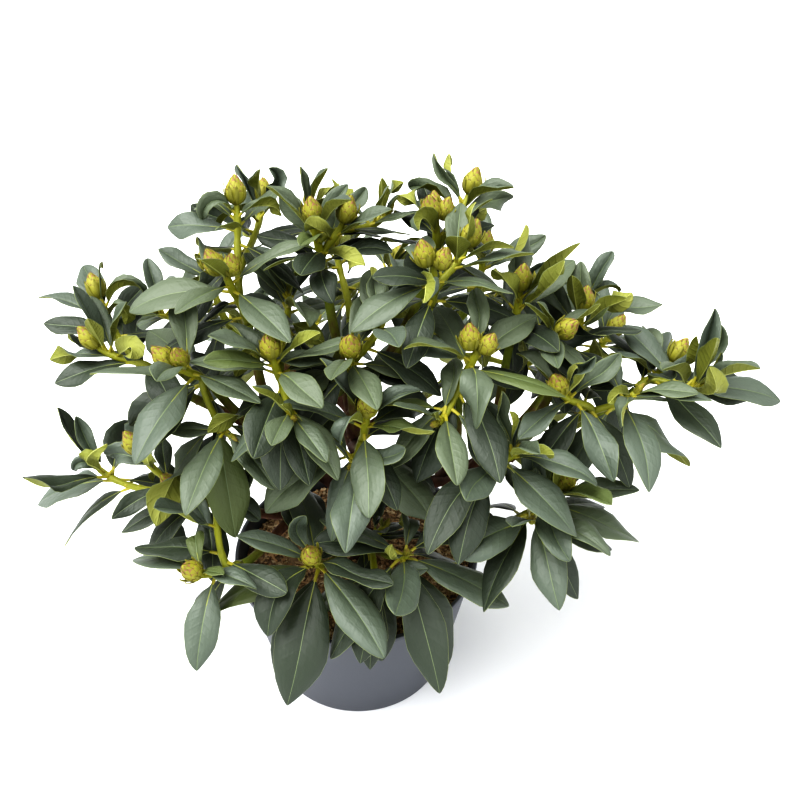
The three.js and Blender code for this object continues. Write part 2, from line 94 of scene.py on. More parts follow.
def smooth(low: float, high: float, value: Number) -> Number:
    """0 below low, 1 above high, and an S-shaped rise, 3 x x - 2 x x x, between them."""
    share = np.clip((value - low) / (high - low), 0, 1)
    return share * share * (3 - 2 * share)


def heading(azimuth: float, elevation: float = 0.0) -> Array:
    """The direction at an azimuth and elevation given in degrees."""
    a, e = math.radians(azimuth), math.radians(elevation)
    return np.array([math.cos(a) * math.cos(e), math.sin(a) * math.cos(e), math.sin(e)])


def square(along: Array) -> tuple[Array, Array]:
    """Two directions square to the one given and to each other, for one vector or many."""
    side = unit(np.cross(along, SIDEWAYS))
    return side, np.cross(side, along)


def draw(mass: int, shoot: int, leaf: int, attempt: int, which: int) -> float:
    """A number from 0 to 1 that depends only on five whole numbers.

    It is the fraction of a sine of their weighted sum, multiplied by a large number.

    Args:
        mass: the number of a mass of foliage.
        shoot: the number of a shoot in it.
        leaf: a leaf's place on the shoot.
        attempt: how often the leaf has been turned from its place.
        which: what the number decides.

    Returns:
        The number, the same each time for the same five.
    """
    weighted = mass * 12.9898 + shoot * 78.233 + leaf * 37.719 + attempt * 9.151 + which * 4.581
    return (math.sin(weighted) * 43758.5453) % 1.0


def linear(code: str) -> tuple[float, ...]:
    """An sRGB hex colour as a linear one.

    Each channel is the power 2.4 of itself, shifted a little, and a plain share of itself where
    it is very dark.

    Args:
        code: the colour, such as "#3a4236".

    Returns:
        Linear red, green and blue, and an alpha of 1.
    """
    parts = [int(code[i : i + 2], 16) / 255 for i in (1, 3, 5)]
    bright = [c / 12.92 if c <= 0.04045 else ((c + 0.055) / 1.055) ** 2.4 for c in parts]
    return (*bright, 1.0)


# ---------------- finishes


def add_node(
    tree: bpy.types.NodeTree, kind: str, settings: dict | None = None, links: dict | None = None
) -> bpy.types.Node:
    """Adds a node to a tree.

    Args:
        tree: the material's node tree.
        kind: the node's type, such as "ShaderNodeMath".
        settings: its properties by name, and its plain inputs by name or place.
        links: the sockets that feed its inputs, by name or place.

    Returns:
        The new node.
    """
    node = tree.nodes.new(kind)
    for key, value in (settings or {}).items():
        if isinstance(key, int) or key in node.inputs:
            node.inputs[key].default_value = value
        else:
            setattr(node, key, value)
    for key, socket in (links or {}).items():
        tree.links.new(socket, node.inputs[key])
    return node


@dataclass(frozen=True)
class Finish:
    """A plain surface: a colour, how rough it is, and a fine grain that bump gives it."""

    name: str
    colour: str
    roughness: float
    ior: float = 1.5
    grain: float = 0.4  # mm between its grains
    depth: float = 0.05  # mm that they stand out

    def build(self) -> bpy.types.Material:
        """Makes the material under the finish's name.

        Returns:
            The material, whose plain values are set on the shader's own sockets.
        """
        material = bpy.data.materials.new(self.name)
        material.use_nodes = True
        tree = material.node_tree
        shader = tree.nodes["Principled BSDF"]
        shader.inputs["Base Color"].default_value = linear(self.colour)
        shader.inputs["Roughness"].default_value = self.roughness
        shader.inputs["IOR"].default_value = self.ior
        self.dress(tree, shader)
        return material

    def dress(self, tree: bpy.types.NodeTree, shader: bpy.types.Node) -> None:
        """Adds the grain: noise whose cells are one grain wide, fed to a bump.

        Args:
            tree: the material's node tree.
            shader: its shader.
        """
        place = add_node(tree, "ShaderNodeTexCoord")
        noise = add_node(
            tree, "ShaderNodeTexNoise",
            {"Scale": 1 / (self.grain * MM), "Detail": 3.0, "Roughness": 0.6},
            {"Vector": place.outputs["Object"]},
        )
        self.raise_by(tree, shader, noise.outputs["Fac"])

    def raise_by(
        self, tree: bpy.types.NodeTree, shader: bpy.types.Node, height: bpy.types.NodeSocket
    ) -> None:
        """Feeds a height from 0 to 1 to the shader's normal, as a relief of the finish's depth.

        Args:
            tree: the material's node tree.
            shader: its shader.
            height: the socket that gives the height.
        """
        relief = {"Strength": 1.0, "Distance": self.depth * MM}
        bump = add_node(tree, "ShaderNodeBump", relief, {"Height": height})
        tree.links.new(bump.outputs["Normal"], shader.inputs["Normal"])


@dataclass(frozen=True)
class LeafSkin(Finish):
    """A leathery leaf surface with side veins that run out and forward from the midrib.

    The veins follow the leaf's own map: u is the share of its length, v runs from one margin
    at 0 to the other at 1.
    """

    veins: float = 11.0  # pairs of side veins
    slant: float = 0.13  # how far they run forward, as a share of the leaf's length
    vein_half: float = 0.2  # half a vein's width, as a share of the way to the next
    vein_share: float = 0.1  # their relief beside that of the blade's slow unevenness
    swells: float = 7.0  # of that unevenness along a leaf

    def dress(self, tree: bpy.types.NodeTree, shader: bpy.types.Node) -> None:
        """Adds the veins and a slow unevenness.

        The veins are a wave of (u - 2 slant |v - 1/2|), narrow at its crests.

        Args:
            tree: the material's node tree.
            shader: its shader.
        """
        place = add_node(tree, "ShaderNodeUVMap", {"uv_map": "Blade"})
        split = add_node(tree, "ShaderNodeSeparateXYZ", links={0: place.outputs["UV"]})
        back = split.outputs["Y"]
        lean = -2 * self.slant * self.veins
        for operation, number in (("SUBTRACT", 0.5), ("ABSOLUTE", 0.0), ("MULTIPLY", lean)):
            step = add_node(tree, "ShaderNodeMath", {"operation": operation, 1: number}, {0: back})
            back = step.outputs[0]
        along = add_node(
            tree, "ShaderNodeMath",
            {"operation": "MULTIPLY_ADD", 1: self.veins},
            {0: split.outputs["X"], 2: back},
        )
        crest = add_node(
            tree, "ShaderNodeMath", {"operation": "PINGPONG", 1: 0.5}, {0: along.outputs[0]}
        )
        narrow = add_node(
            tree, "ShaderNodeMapRange",
            {"From Min": 0.0, "From Max": self.vein_half, "To Min": self.vein_share, "To Max": 0.0,
             "interpolation_type": "SMOOTHSTEP"},
            {"Value": crest.outputs[0]},
        )
        swell = add_node(
            tree, "ShaderNodeTexNoise",
            {"Scale": self.swells, "Detail": 4.0, "Roughness": 0.55},
            {"Vector": place.outputs["UV"]},
        )
        both = add_node(
            tree, "ShaderNodeMath", {"operation": "ADD"}, {0: narrow.outputs[0], 1: swell.outputs["Fac"]}
        )
        self.raise_by(tree, shader, both.outputs[0])


@dataclass(frozen=True)
class Wood(Finish):
    """Bark that turns from brown at the foot to green near the shoots.

    The attribute age is 0 on old wood and 1 on this year's growth. Noise shifts the change of
    colour, so that it has no straight edge.
    """

    young: str = "#7a8433"
    crack: str = "#3d2c23"
    flake: float = 6.0  # mm between the flakes
    flake_width: float = 0.45  # beside its length along Z
    unrest: float = 0.7  # how far the flakes shift the change of colour
    stops: Triple = (0.3, 0.62, 1.0)  # of crack, bark and young skin

    def dress(self, tree: bpy.types.NodeTree, shader: bpy.types.Node) -> None:
        """Adds the change of colour and the flaking relief, longer along Z than across.

        Args:
            tree: the material's node tree.
            shader: its shader.
        """
        place = add_node(tree, "ShaderNodeTexCoord")
        long = add_node(
            tree, "ShaderNodeMapping",
            {"Scale": (1.0, 1.0, self.flake_width)},
            {"Vector": place.outputs["Object"]},
        )
        flakes = add_node(
            tree, "ShaderNodeTexNoise",
            {"Scale": 1 / (self.flake * MM), "Detail": 5.0, "Roughness": 0.65},
            {"Vector": long.outputs[0]},
        )
        age = add_node(tree, "ShaderNodeAttribute", {"attribute_name": "age"})
        shifted = add_node(
            tree, "ShaderNodeMath",
            {"operation": "MULTIPLY_ADD", 1: self.unrest},
            {0: flakes.outputs["Fac"], 2: age.outputs["Fac"]},
        )
        ramp = add_node(tree, "ShaderNodeValToRGB", links={0: shifted.outputs[0]})
        first, last = ramp.color_ramp.elements
        first.position, first.color = self.stops[0], linear(self.crack)
        last.position, last.color = self.stops[2], linear(self.young)
        middle = ramp.color_ramp.elements.new(self.stops[1])
        middle.color = linear(self.colour)
        tree.links.new(ramp.outputs["Color"], shader.inputs["Base Color"])
        self.raise_by(tree, shader, flakes.outputs["Fac"])


# Leathery evergreen blade, upper side: dark green under a waxy cuticle that mirrors the sky
# as a broad grey sheen. The tones differ from leaf to leaf, and they also carry painted light
# and shade: the deep tone is painted shade on low and older inner leaves, the lighter tones
# are painted light on high ones.
TOPS = (
    LeafSkin("leaf_top_deep", "#3a4236", 0.5, depth=1.1),
    LeafSkin("leaf_top_grey_green", "#555e52", 0.48, depth=1.1),
    LeafSkin("leaf_top_mid", "#576050", 0.5, depth=1.1),
    LeafSkin("leaf_top_light", "#5b6451", 0.52, depth=1.1),
    LeafSkin("leaf_top_fresh", "#58623e", 0.52, depth=1.1),
)
# Underside: matt, pale olive, with the net of veins standing out.
UNDERS = (
    LeafSkin("leaf_under_olive", "#767a37", 0.66, depth=0.9, vein_share=0.35),
    LeafSkin("leaf_under_pale", "#828544", 0.68, depth=0.9, vein_share=0.35),
)
# Midrib, margin and stalk hold less green, so they show as thin pale lines.
RIB_FOOT = Finish("leaf_midrib_foot", "#858b4e", 0.5, grain=1.5)
RIB_TOP = Finish("leaf_midrib_top", "#6c7858", 0.45, grain=1.5)
RIB_UNDER = Finish("leaf_midrib_under", "#a9ad6a", 0.55, grain=1.5)
MARGIN = Finish("leaf_margin", "#747d53", 0.5, grain=1.5)
STALK = Finish("leaf_stalk", "#9c9638", 0.5, grain=1.5)
# This year's green shoots: smooth, slightly waxy skin over soft wood.
SHOOT_SKIN = Wood("green_shoot_skin", "#6c7128", 0.5, young="#868828", flake=3.0, depth=0.25)
# Thin, finely flaking bark: dull red-brown with darker cracks.
BARK = Wood("flaking_bark", "#66483a", 0.85, depth=0.7)
# Bud scales: papery and slightly downy, yellow-green with dry brown edges.
SCALE = Finish("bud_scale_green", "#898733", 0.6, grain=1.0, depth=0.12)
SCALE_EDGE = Finish("bud_scale_edge", "#705f31", 0.65, grain=1.0, depth=0.12)
SCALE_TIP = Finish("bud_scale_dry_point", "#8b6c4d", 0.7, grain=1.0, depth=0.12)
BRACT = Finish("bud_bract", "#838139", 0.65, grain=1.0, depth=0.12)
# Injection-moulded polypropylene: slate grey, satin, with a very fine spark-eroded grain.
POT_PLASTIC = Finish("moulded_polypropylene", "#4d5056", 0.45, ior=1.49, grain=0.9, depth=0.05)
# Shredded bark and peat: matt browns, dark where it is damp.
MULCH_TONES = (
    Finish("peat_crumb", "#7e6b55", 0.95, grain=2.0, depth=0.8),
    Finish("bark_chip_brown", "#9a8468", 0.9, grain=2.0, depth=0.4),
    Finish("bark_chip_red", "#a08365", 0.9, grain=2.0, depth=0.4),
    Finish("bark_chip_pale", "#b5a387", 0.9, grain=2.0, depth=0.4),
    Finish("bark_chip_dark", "#6f5c4a", 0.9, grain=2.0, depth=0.4),
)


# ---------------- meshes


TILE_EDGE = 0.04  # share of a map's tile that stays free at each of its edges


def layout(rows: int, ring: int) -> tuple[Array, Array]:
    """The faces of one skin, as places in its list of points.

    Args:
        rows: how many rings it has.
        ring: how many points a ring has.

    Returns:
        Its quads, (rows - 1, ring, 4), and the fans at its ends, (2 ring, 3).
    """
    row, col = np.meshgrid(np.arange(rows - 1), np.arange(ring), indexing="ij")
    after = (col + 1) % ring
    low, high = row * ring, (row + 1) * ring
    quads = np.stack([low + col, low + after, high + after, high + col], axis=-1)
    k = np.arange(ring)
    after, last, start = (k + 1) % ring, (rows - 1) * ring, rows * ring
    fans = [np.stack([np.full(ring, start), after, k], axis=-1),
            np.stack([np.full(ring, start + 1), last + k, last + after], axis=-1)]
    return quads, np.concatenate(fans)


@dataclass
class Skins:
    """A mesh of closed skins: each is a grid of rings with one more point at both ends.

    Seen along the rows, a ring runs so that (ring direction) x (row direction) points outwards.
    Its second half is split along the other diagonal, which keeps a flat skin's sides parallel.
    """

    points: list[Array] = field(default_factory=list)
    quads: list[Array] = field(default_factory=list)
    quad_slots: list[Array] = field(default_factory=list)
    fans: list[Array] = field(default_factory=list)
    fan_slots: list[Array] = field(default_factory=list)
    marks: list[Array] = field(default_factory=list)
    count: int = 0

    def add(
        self, grids: Array, ends: Array | None = None, slots: Array | int = 0, marks: Number = 0.0
    ) -> None:
        """Adds n skins of one layout.

        Args:
            grids: their points, (n, rows, ring, 3), in mm.
            ends: their first and last points, (n, 2, 3); the end rings' middles if left out.
            slots: the material slot of each quad, spread to (n, rows - 1, ring).
            marks: two numbers for each point, spread to (n, rows, ring, 2): a map or an age.
        """
        n, rows, ring, _ = grids.shape
        each = rows * ring + 2
        if ends is None:
            ends = grids[:, [0, -1]].mean(axis=2)
        marks = np.broadcast_to(marks, (n, rows, ring, 2))
        end_marks = marks[:, [0, -1]].mean(axis=2)
        self.points.append(np.concatenate([grids.reshape(n, -1, 3), ends], axis=1).reshape(-1, 3))
        self.marks.append(
            np.concatenate([marks.reshape(n, -1, 2), end_marks], axis=1).reshape(-1, 2)
        )
        first = self.count + each * np.arange(n)
        quads, fans = layout(rows, ring)
        quads[:, ring // 2 :] = np.roll(quads[:, ring // 2 :], -1, axis=-1)
        self.quads.append((first[:, None, None] + quads.reshape(-1, 4)).reshape(-1, 4))
        self.fans.append((first[:, None, None] + fans).reshape(-1, 3))
        slots = np.broadcast_to(slots, (n, rows - 1, ring))
        self.quad_slots.append(slots.reshape(-1))
        self.fan_slots.append(np.concatenate([slots[:, 0], slots[:, -1]], axis=1).reshape(-1))
        self.count += each * n

    def piece(
        self, name: str, finishes: Sequence[Finish], mark_map: str = "", mark_age: bool = False,
        tiles: bool = False, crease: float = 0.0,
    ) -> bpy.types.Object:
        """Makes the mesh and its object.

        Args:
            name: the piece's name.
            finishes: one for each material slot, already built.
            mark_map: the name of a UV map that takes the marks, if any.
            mark_age: whether the marks' first number becomes the attribute age.
            tiles: whether a second map lays the marks out again, with a tile for each slot.
            crease: the angle in degrees past which an edge is sharp; 0 for none.

        Returns:
            The object, at the origin, riding on the part's one body.
        """
        points = np.concatenate(self.points) * MM
        quads, fans = np.concatenate(self.quads), np.concatenate(self.fans)
        corners = np.concatenate([quads.reshape(-1), fans.reshape(-1)])
        starts = np.concatenate(
            [4 * np.arange(len(quads)), 4 * len(quads) + 3 * np.arange(len(fans))]
        )
        slots = np.concatenate([*self.quad_slots, *self.fan_slots])
        mesh = bpy.data.meshes.new(name)
        mesh.vertices.add(len(points))
        mesh.vertices.foreach_set("co", points.astype(np.float32).reshape(-1))
        mesh.loops.add(len(corners))
        mesh.loops.foreach_set("vertex_index", corners.astype(np.int32))
        mesh.polygons.add(len(starts))
        mesh.polygons.foreach_set("loop_start", starts.astype(np.int32))
        mesh.polygons.foreach_set("material_index", slots.astype(np.int32))
        mesh.polygons.foreach_set("use_smooth", np.ones(len(starts), bool))
        mesh.update(calc_edges=True)
        marks = np.concatenate(self.marks)
        if mark_map:
            layer = mesh.uv_layers.new(name=mark_map)
            layer.data.foreach_set("uv", marks[corners].astype(np.float32).reshape(-1))
        if tiles:
            across = math.ceil(math.sqrt(len(finishes)))
            slot = np.repeat(slots, np.diff([*starts, len(corners)]))
            tile = np.stack([slot % across, slot // across], axis=-1)
            spread = tile + TILE_EDGE + (1 - 2 * TILE_EDGE) * np.clip(marks[corners], 0, 1)
            layer = mesh.uv_layers.new(name="OFBake")
            layer.data.foreach_set("uv", (spread / across).astype(np.float32).reshape(-1))
        if mark_age:
            age = mesh.attributes.new("age", "FLOAT", "POINT")
            age.data.foreach_set("value", marks[:, 0].astype(np.float32))
        if crease:
            mesh.set_sharp_from_angle(angle=math.radians(crease))
        for finish in finishes:
            mesh.materials.append(bpy.data.materials[finish.name])
        piece = bpy.data.objects.new(name, mesh)
        bpy.context.scene.collection.objects.link(piece)
        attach(piece, BODY)
        log.info("%s: %d faces", name, len(starts))
        return piece


# ---------------- how the plant grows


class Habit(Enum):
    """How the leaves of a whorl stand, from the lowest leaf to the highest.

    Each holds a pair for their elevation in degrees, one for how much they droop, one for how far
    their halves fold up in degrees, and how far their blades twist in degrees.
    """

    UP = ((15, 66), (0.16, -0.06), (14, 40), 34)
    SPREAD = ((-14, 48), (0.32, 0.1), (8, 28), 20)
    HANG = ((-34, 22), (0.42, 0.24), (6, 14), 10)


@dataclass(frozen=True)
class Shoot:
    """A leafy shoot: its tip, its leaves and flower buds, and how the leaves stand.

    The turn is the heading of its lowest leaf in degrees; below zero the spiral runs clockwise.
    """

    tip: Triple
    leaves: int
    buds: int
    turn: float
    length: float
    habit: Habit


@dataclass(frozen=True)
class Bough:
    """A bough: the limb it leaves and how far along it, its tip, its radii and its shoots."""

    name: str
    parent: str
    at: float
    tip: Triple
    radius: Pair
    shoots: tuple[Shoot, ...]


def bough(name: str, parent: str, at: float, tip: tuple, radius: tuple, *rows: tuple) -> Bough:
    """A bough whose shoots are plain rows: x, y, z and then a shoot's other fields."""
    return Bough(name, parent, at, tip, radius, tuple(Shoot(row[:3], *row[3:]) for row in rows))


CROWN = (
    bough("left_tip", "trunk", 0.62, (-148, -62, 300), (8.5, 5),
          (-173, -70, 323, 6, 1, 200, 88, Habit.SPREAD),
          (-268, -20, 308, 7, 0, 178, 112, Habit.SPREAD),
          (-210, -50, 356, 5, 1, 150, 66, Habit.UP)),
    bough("left_shoulder", "trunk", 0.86, (-130, -36, 428), (9, 5),
          (-158, -50, 464, 8, 2, -255, 98, Habit.SPREAD),
          (-112, -72, 396, 6, 0, 262, 118, Habit.HANG)),
    bough("centre", "trunk", 1, (2, -26, 430), (9.5, 5),
          (5, -60, 482, 7, 1, 20, 84, Habit.SPREAD),
          (36, -36, 506, 6, 0, 200, 84, Habit.SPREAD)),
    bough("right_low", "trunk", 0.78, (222, -38, 386), (9, 5),
          (276, -42, 424, 7, 0, -325, 98, Habit.HANG),
          (200, -62, 440, 6, 1, 318, 84, Habit.SPREAD)),
    bough("inner_front", "trunk", 0.5, (10, -66, 244), (7.5, 4.8),
          (34, -70, 272, 6, 0, 60, 62, Habit.SPREAD),
          (26, -128, 250, 5, 0, 258, 104, Habit.HANG)),
    bough("back_mid", "trunk", 0.9, (-6, 128, 400), (9, 5),
          (-22, 176, 462, 6, 1, 100, 88, Habit.SPREAD),
          (42, 226, 414, 6, 1, 60, 98, Habit.SPREAD)),
    bough("far_front_left", "left_tip", 0.42, (-108, -122, 272), (6.5, 4.8),
          (-140, -160, 300, 3, 1, -265, 96, Habit.HANG),
          (-128, -108, 338, 5, 0, 80, 84, Habit.UP)),
    bough("left_wing", "left_shoulder", 0.72, (-196, 8, 412), (6.5, 4.8),
          (-254, 20, 436, 7, 1, 185, 84, Habit.UP),
          (-262, 78, 458, 7, 1, 172, 76, Habit.UP)),
    bough("left_top", "left_shoulder", 0.55, (-98, 8, 470), (7, 5),
          (-112, 0, 533, 8, 2, 180, 92, Habit.SPREAD),
          (-105, 58, 574, 7, 1, -180, 70, Habit.SPREAD),
          (-92, 128, 540, 6, 1, 100, 76, Habit.UP)),
    bough("front_left_high", "left_shoulder", 0.46, (-58, -52, 424), (6.5, 4.8),
          (-66, -60, 480, 7, 1, 30, 84, Habit.SPREAD),
          (-46, -104, 442, 6, 0, 190, 84, Habit.SPREAD),
          (-60, 40, 485, 6, 0, 220, 86, Habit.SPREAD)),
    bough("top_mid", "centre", 0.6, (-24, 42, 506), (7, 5),
          (-31, 40, 563, 6, 1, 122, 74, Habit.UP),
          (-4, 52, 558, 6, 1, 60, 76, Habit.UP),
          (-44, 112, 545, 5, 0, 100, 66, Habit.UP),
          (36, 92, 545, 5, 0, 30, 70, Habit.UP)),
    bough("right_top", "centre", 0.74, (78, -8, 500), (6.5, 4.8),
          (80, -20, 552, 7, 2, 200, 84, Habit.SPREAD),
          (112, 14, 552, 6, 1, 330, 76, Habit.UP)),
    bough("front_centre", "centre", 0.5, (12, -74, 382), (6.5, 4.8),
          (20, -92, 438, 8, 1, 275, 86, Habit.SPREAD),
          (6, -112, 392, 5, 0, 235, 112, Habit.HANG)),
    bough("top_right", "centre", 0.66, (82, 56, 506), (7, 5),
          (85, 60, 560, 8, 3, 185, 80, Habit.UP),
          (118, 98, 565, 6, 1, 25, 74, Habit.UP)),
    bough("right_front", "right_low", 0.42, (106, -56, 438), (7, 5),
          (120, -60, 488, 8, 2, 350, 96, Habit.SPREAD),
          (84, -98, 432, 6, 0, 215, 92, Habit.SPREAD)),
    bough("right_shoulder", "right_low", 0.56, (158, 6, 446), (6.5, 4.8),
          (166, 20, 502, 7, 1, 40, 98, Habit.UP),
          (200, -20, 478, 5, 1, 330, 76, Habit.SPREAD)),
    bough("right_high", "right_low", 0.7, (222, 24, 424), (6, 4.8),
          (231, 32, 471, 6, 1, 28, 80, Habit.UP),
          (246, 92, 448, 6, 1, 60, 84, Habit.SPREAD)),
    bough("right_tip", "right_low", 0.88, (290, 4, 394), (6, 4.8),
          (330, 30, 412, 7, 1, 60, 78, Habit.UP),
          (350, -12, 408, 8, 0, 355, 100, Habit.UP)),
    bough("right_inner", "right_low", 0.34, (132, -84, 366), (6, 4.6),
          (158, -104, 404, 7, 0, 300, 98, Habit.SPREAD)),
    bough("low_front_left", "inner_front", 0.5, (-28, -108, 256), (6, 4.6),
          (-35, -130, 286, 8, 1, 262, 124, Habit.HANG)),
    bough("low_front_right", "inner_front", 0.66, (46, -98, 258), (6, 4.6),
          (56, -122, 286, 8, 0, 290, 118, Habit.HANG)),
    bough("low_right", "inner_front", 0.34, (166, -84, 296), (6, 4.6),
          (206, -90, 345, 7, 1, 330, 104, Habit.SPREAD),
          (176, -120, 330, 6, 0, 290, 96, Habit.SPREAD)),
    bough("back_left", "back_mid", 0.5, (-136, 112, 396), (7, 5),
          (-160, 148, 452, 6, 1, 120, 88, Habit.SPREAD),
          (-224, 140, 400, 6, 1, 160, 96, Habit.SPREAD)),
    bough("back_right", "back_mid", 0.62, (126, 118, 420), (7, 5),
          (140, 136, 478, 6, 1, 70, 84, Habit.SPREAD),
          (196, 188, 404, 6, 1, 50, 96, Habit.SPREAD)),
    bough("back_low_left", "back_mid", 0.3, (-94, 186, 280), (6.5, 4.8),
          (-150, 232, 318, 6, 1, 130, 104, Habit.SPREAD),
          (-58, 262, 306, 6, 0, 95, 108, Habit.HANG)),
    bough("back_low_right", "back_mid", 0.36, (112, 184, 284), (6.5, 4.8),
          (116, 252, 320, 6, 1, 80, 104, Habit.SPREAD),
          (214, 186, 300, 6, 0, 35, 108, Habit.HANG)),
    bough("back_far_right", "right_low", 0.5, (226, 96, 344), (6, 4.8),
          (288, 126, 380, 7, 1, 35, 96, Habit.SPREAD)),
)

EVEN_STEPS = 3  # a limb's tube has at least this many straight stretches
BEND = 0.35  # a curve's handles, as a share of its reach
GAP = 0.3  # between a limb and the one it goes on from
TRIES = 12
CLEAR = 1.2  # extra thickness that a leaf keeps free of limbs and other masses
SHOOT_SIDES = 3  # of a shoot's shell
LIMB_SIDES = 6  # of a limb's, which the whorls' plans must clear
CLOSE_SIDES = 8  # of a limb's, which the finished blades must clear


class Shell:
    """A coarse closed skin with its box, for the crossing test."""

    def __init__(self, grid: Array, ends: Array | None = None) -> None:
        """Takes over the points.

        Args:
            grid: its rings, (rows, ring, 3).
            ends: its two end points; the end rings' middles if left out.
        """
        ends = grid[[0, -1]].mean(axis=1) if ends is None else ends
        self.points = np.concatenate([grid.reshape(-1, 3), ends])
        self.shape = grid.shape[:2]
        self.low, self.high = self.points.min(axis=0).tolist(), self.points.max(axis=0).tolist()
        self.tree: BVHTree | None = None

    def faces(self) -> BVHTree:
        """Gives the search tree of its faces.

        Returns:
            The tree, made when it is first needed.
        """
        if self.tree is None:
            quads, fans = layout(*self.shape)
            faces = quads.reshape(-1, 4).tolist() + fans.tolist()
            self.tree = BVHTree.FromPolygons(self.points.tolist(), faces)
        return self.tree

    def crosses(self, other: "Shell") -> bool:
        """Whether any face of one passes through a face of the other.

        Args:
            other: the other shell.

        Returns:
            False at once where the boxes lie apart, else what the search trees say.
        """
        for k in range(3):
            if self.low[k] > other.high[k] or other.low[k] > self.high[k]:
                return False
        return bool(self.faces().overlap(other.faces()))


@dataclass
class Limb:
    """A tapering limb along the cubic curve of four control points."""

    controls: Array
    steps: int  # straight stretches of its plain tube
    radius: Pair

    @classmethod
    def grown(
        cls, start: Array, lead: Array, end: Array, rise: float, steps: int, radius: Pair
    ) -> "Limb":
        """A limb that leaves its start along a lead and turns upwards at its end.

        Args:
            start: where it begins.
            lead: the unit direction in which it begins.
            end: where it ends.
            rise: how strongly it turns upwards there, beside the straight way.
            steps: the straight stretches of its plain tube.
            radius: its radii at both ends.

        Returns:
            The limb.
        """
        handle = BEND * np.linalg.norm(end - start)
        finish = unit(unit(end - start) + rise * UP)
        return cls(np.array([start, start + handle * lead, end - handle * finish, end]), steps, radius)

    def point(self, t: Number) -> Array:
        """Points of the curve.

        Each control point counts by a product of three factors, each of them t or 1 - t, times
        1, 3, 3 and 1.

        Args:
            t: shares of the way along it.

        Returns:
            A point for each share.
        """
        t = np.asarray(t, float)[..., None]
        a, b, c, d = self.controls
        return (1 - t) ** 3 * a + 3 * (1 - t) ** 2 * t * b + 3 * (1 - t) * t**2 * c + t**3 * d

    def tangent(self, t: Number) -> Array:
        """The curve's directions.

        Each step from one control point to the next counts by a product of two factors, each of
        them t or 1 - t, times 1, 2 and 1.

        Args:
            t: shares of the way along it.

        Returns:
            A unit direction for each share.
        """
        t = np.asarray(t, float)[..., None]
        a, b, c, d = self.controls
        return unit((1 - t) ** 2 * (b - a) + 2 * (1 - t) * t * (c - b) + t**2 * (d - c))

    def length(self) -> float:
        """The curve's length, as the sum of 200 straight steps."""
        steps = np.diff(self.point(np.linspace(0, 1, 201)), axis=0)
        return float(np.linalg.norm(steps, axis=1).sum())

    def on_axis(self, t: float) -> Array:
        """A point on the axis of the plain tube, which is straight from step to step.

        Args:
            t: the share of the way along it.

        Returns:
            The point.
        """
        step = min(int(t * self.steps), self.steps - 1)
        a, b = self.point(np.array([step, step + 1]) / self.steps)
        return mix(a, b, t * self.steps - step)

    def rings(self, t: Array, sides: int, radii: Array) -> Array:
        """Rings of points square to the curve: cosine to one side, sine to the other.

        Args:
            t: shares of the way along it, one for each ring.
            sides: how many points a ring has.
            radii: their distances from the curve, (rings, sides).

        Returns:
            The points, (rings, sides, 3).
        """
        angle = -2 * np.pi * np.arange(sides) / sides
        side, lift = square(self.tangent(t))
        round_it = np.cos(angle)[:, None] * side[:, None] + np.sin(angle)[:, None] * lift[:, None]
        return self.point(t)[:, None] + round_it * radii[..., None]

    def coarse(self, sides: int, grow: float = 0.0) -> Shell:
        """The limb's plain tube as a shell.

        Args:
            sides: how many sides it has.
            grow: how much thicker than the limb it is, in mm.

        Returns:
            The shell.
        """
        t = np.linspace(0, 1, self.steps + 1)
        radii = np.broadcast_to(mix(*self.radius, t)[:, None] + grow, (len(t), sides))
        return Shell(self.rings(t, sides, radii))


PETIOLE = 0.14  # share of a leaf that is stalk
FREE = 0.12  # from here on a leaf keeps clear of its own mass as well
STALK_HALF = 1.6  # mm
PLAIN_WIDEST = 1.15  # above 1 a blade is widest past its middle
PLAIN_BLUNTNESS = 0.8  # below 1 its ends are blunter than a sine's
COARSE_STATIONS = (-0.03, 0.36, 0.74, 1.0)  # of a leaf's shell: its ends and two sections
COARSE_HALF = 1.3  # half its thickness at the midrib, in mm


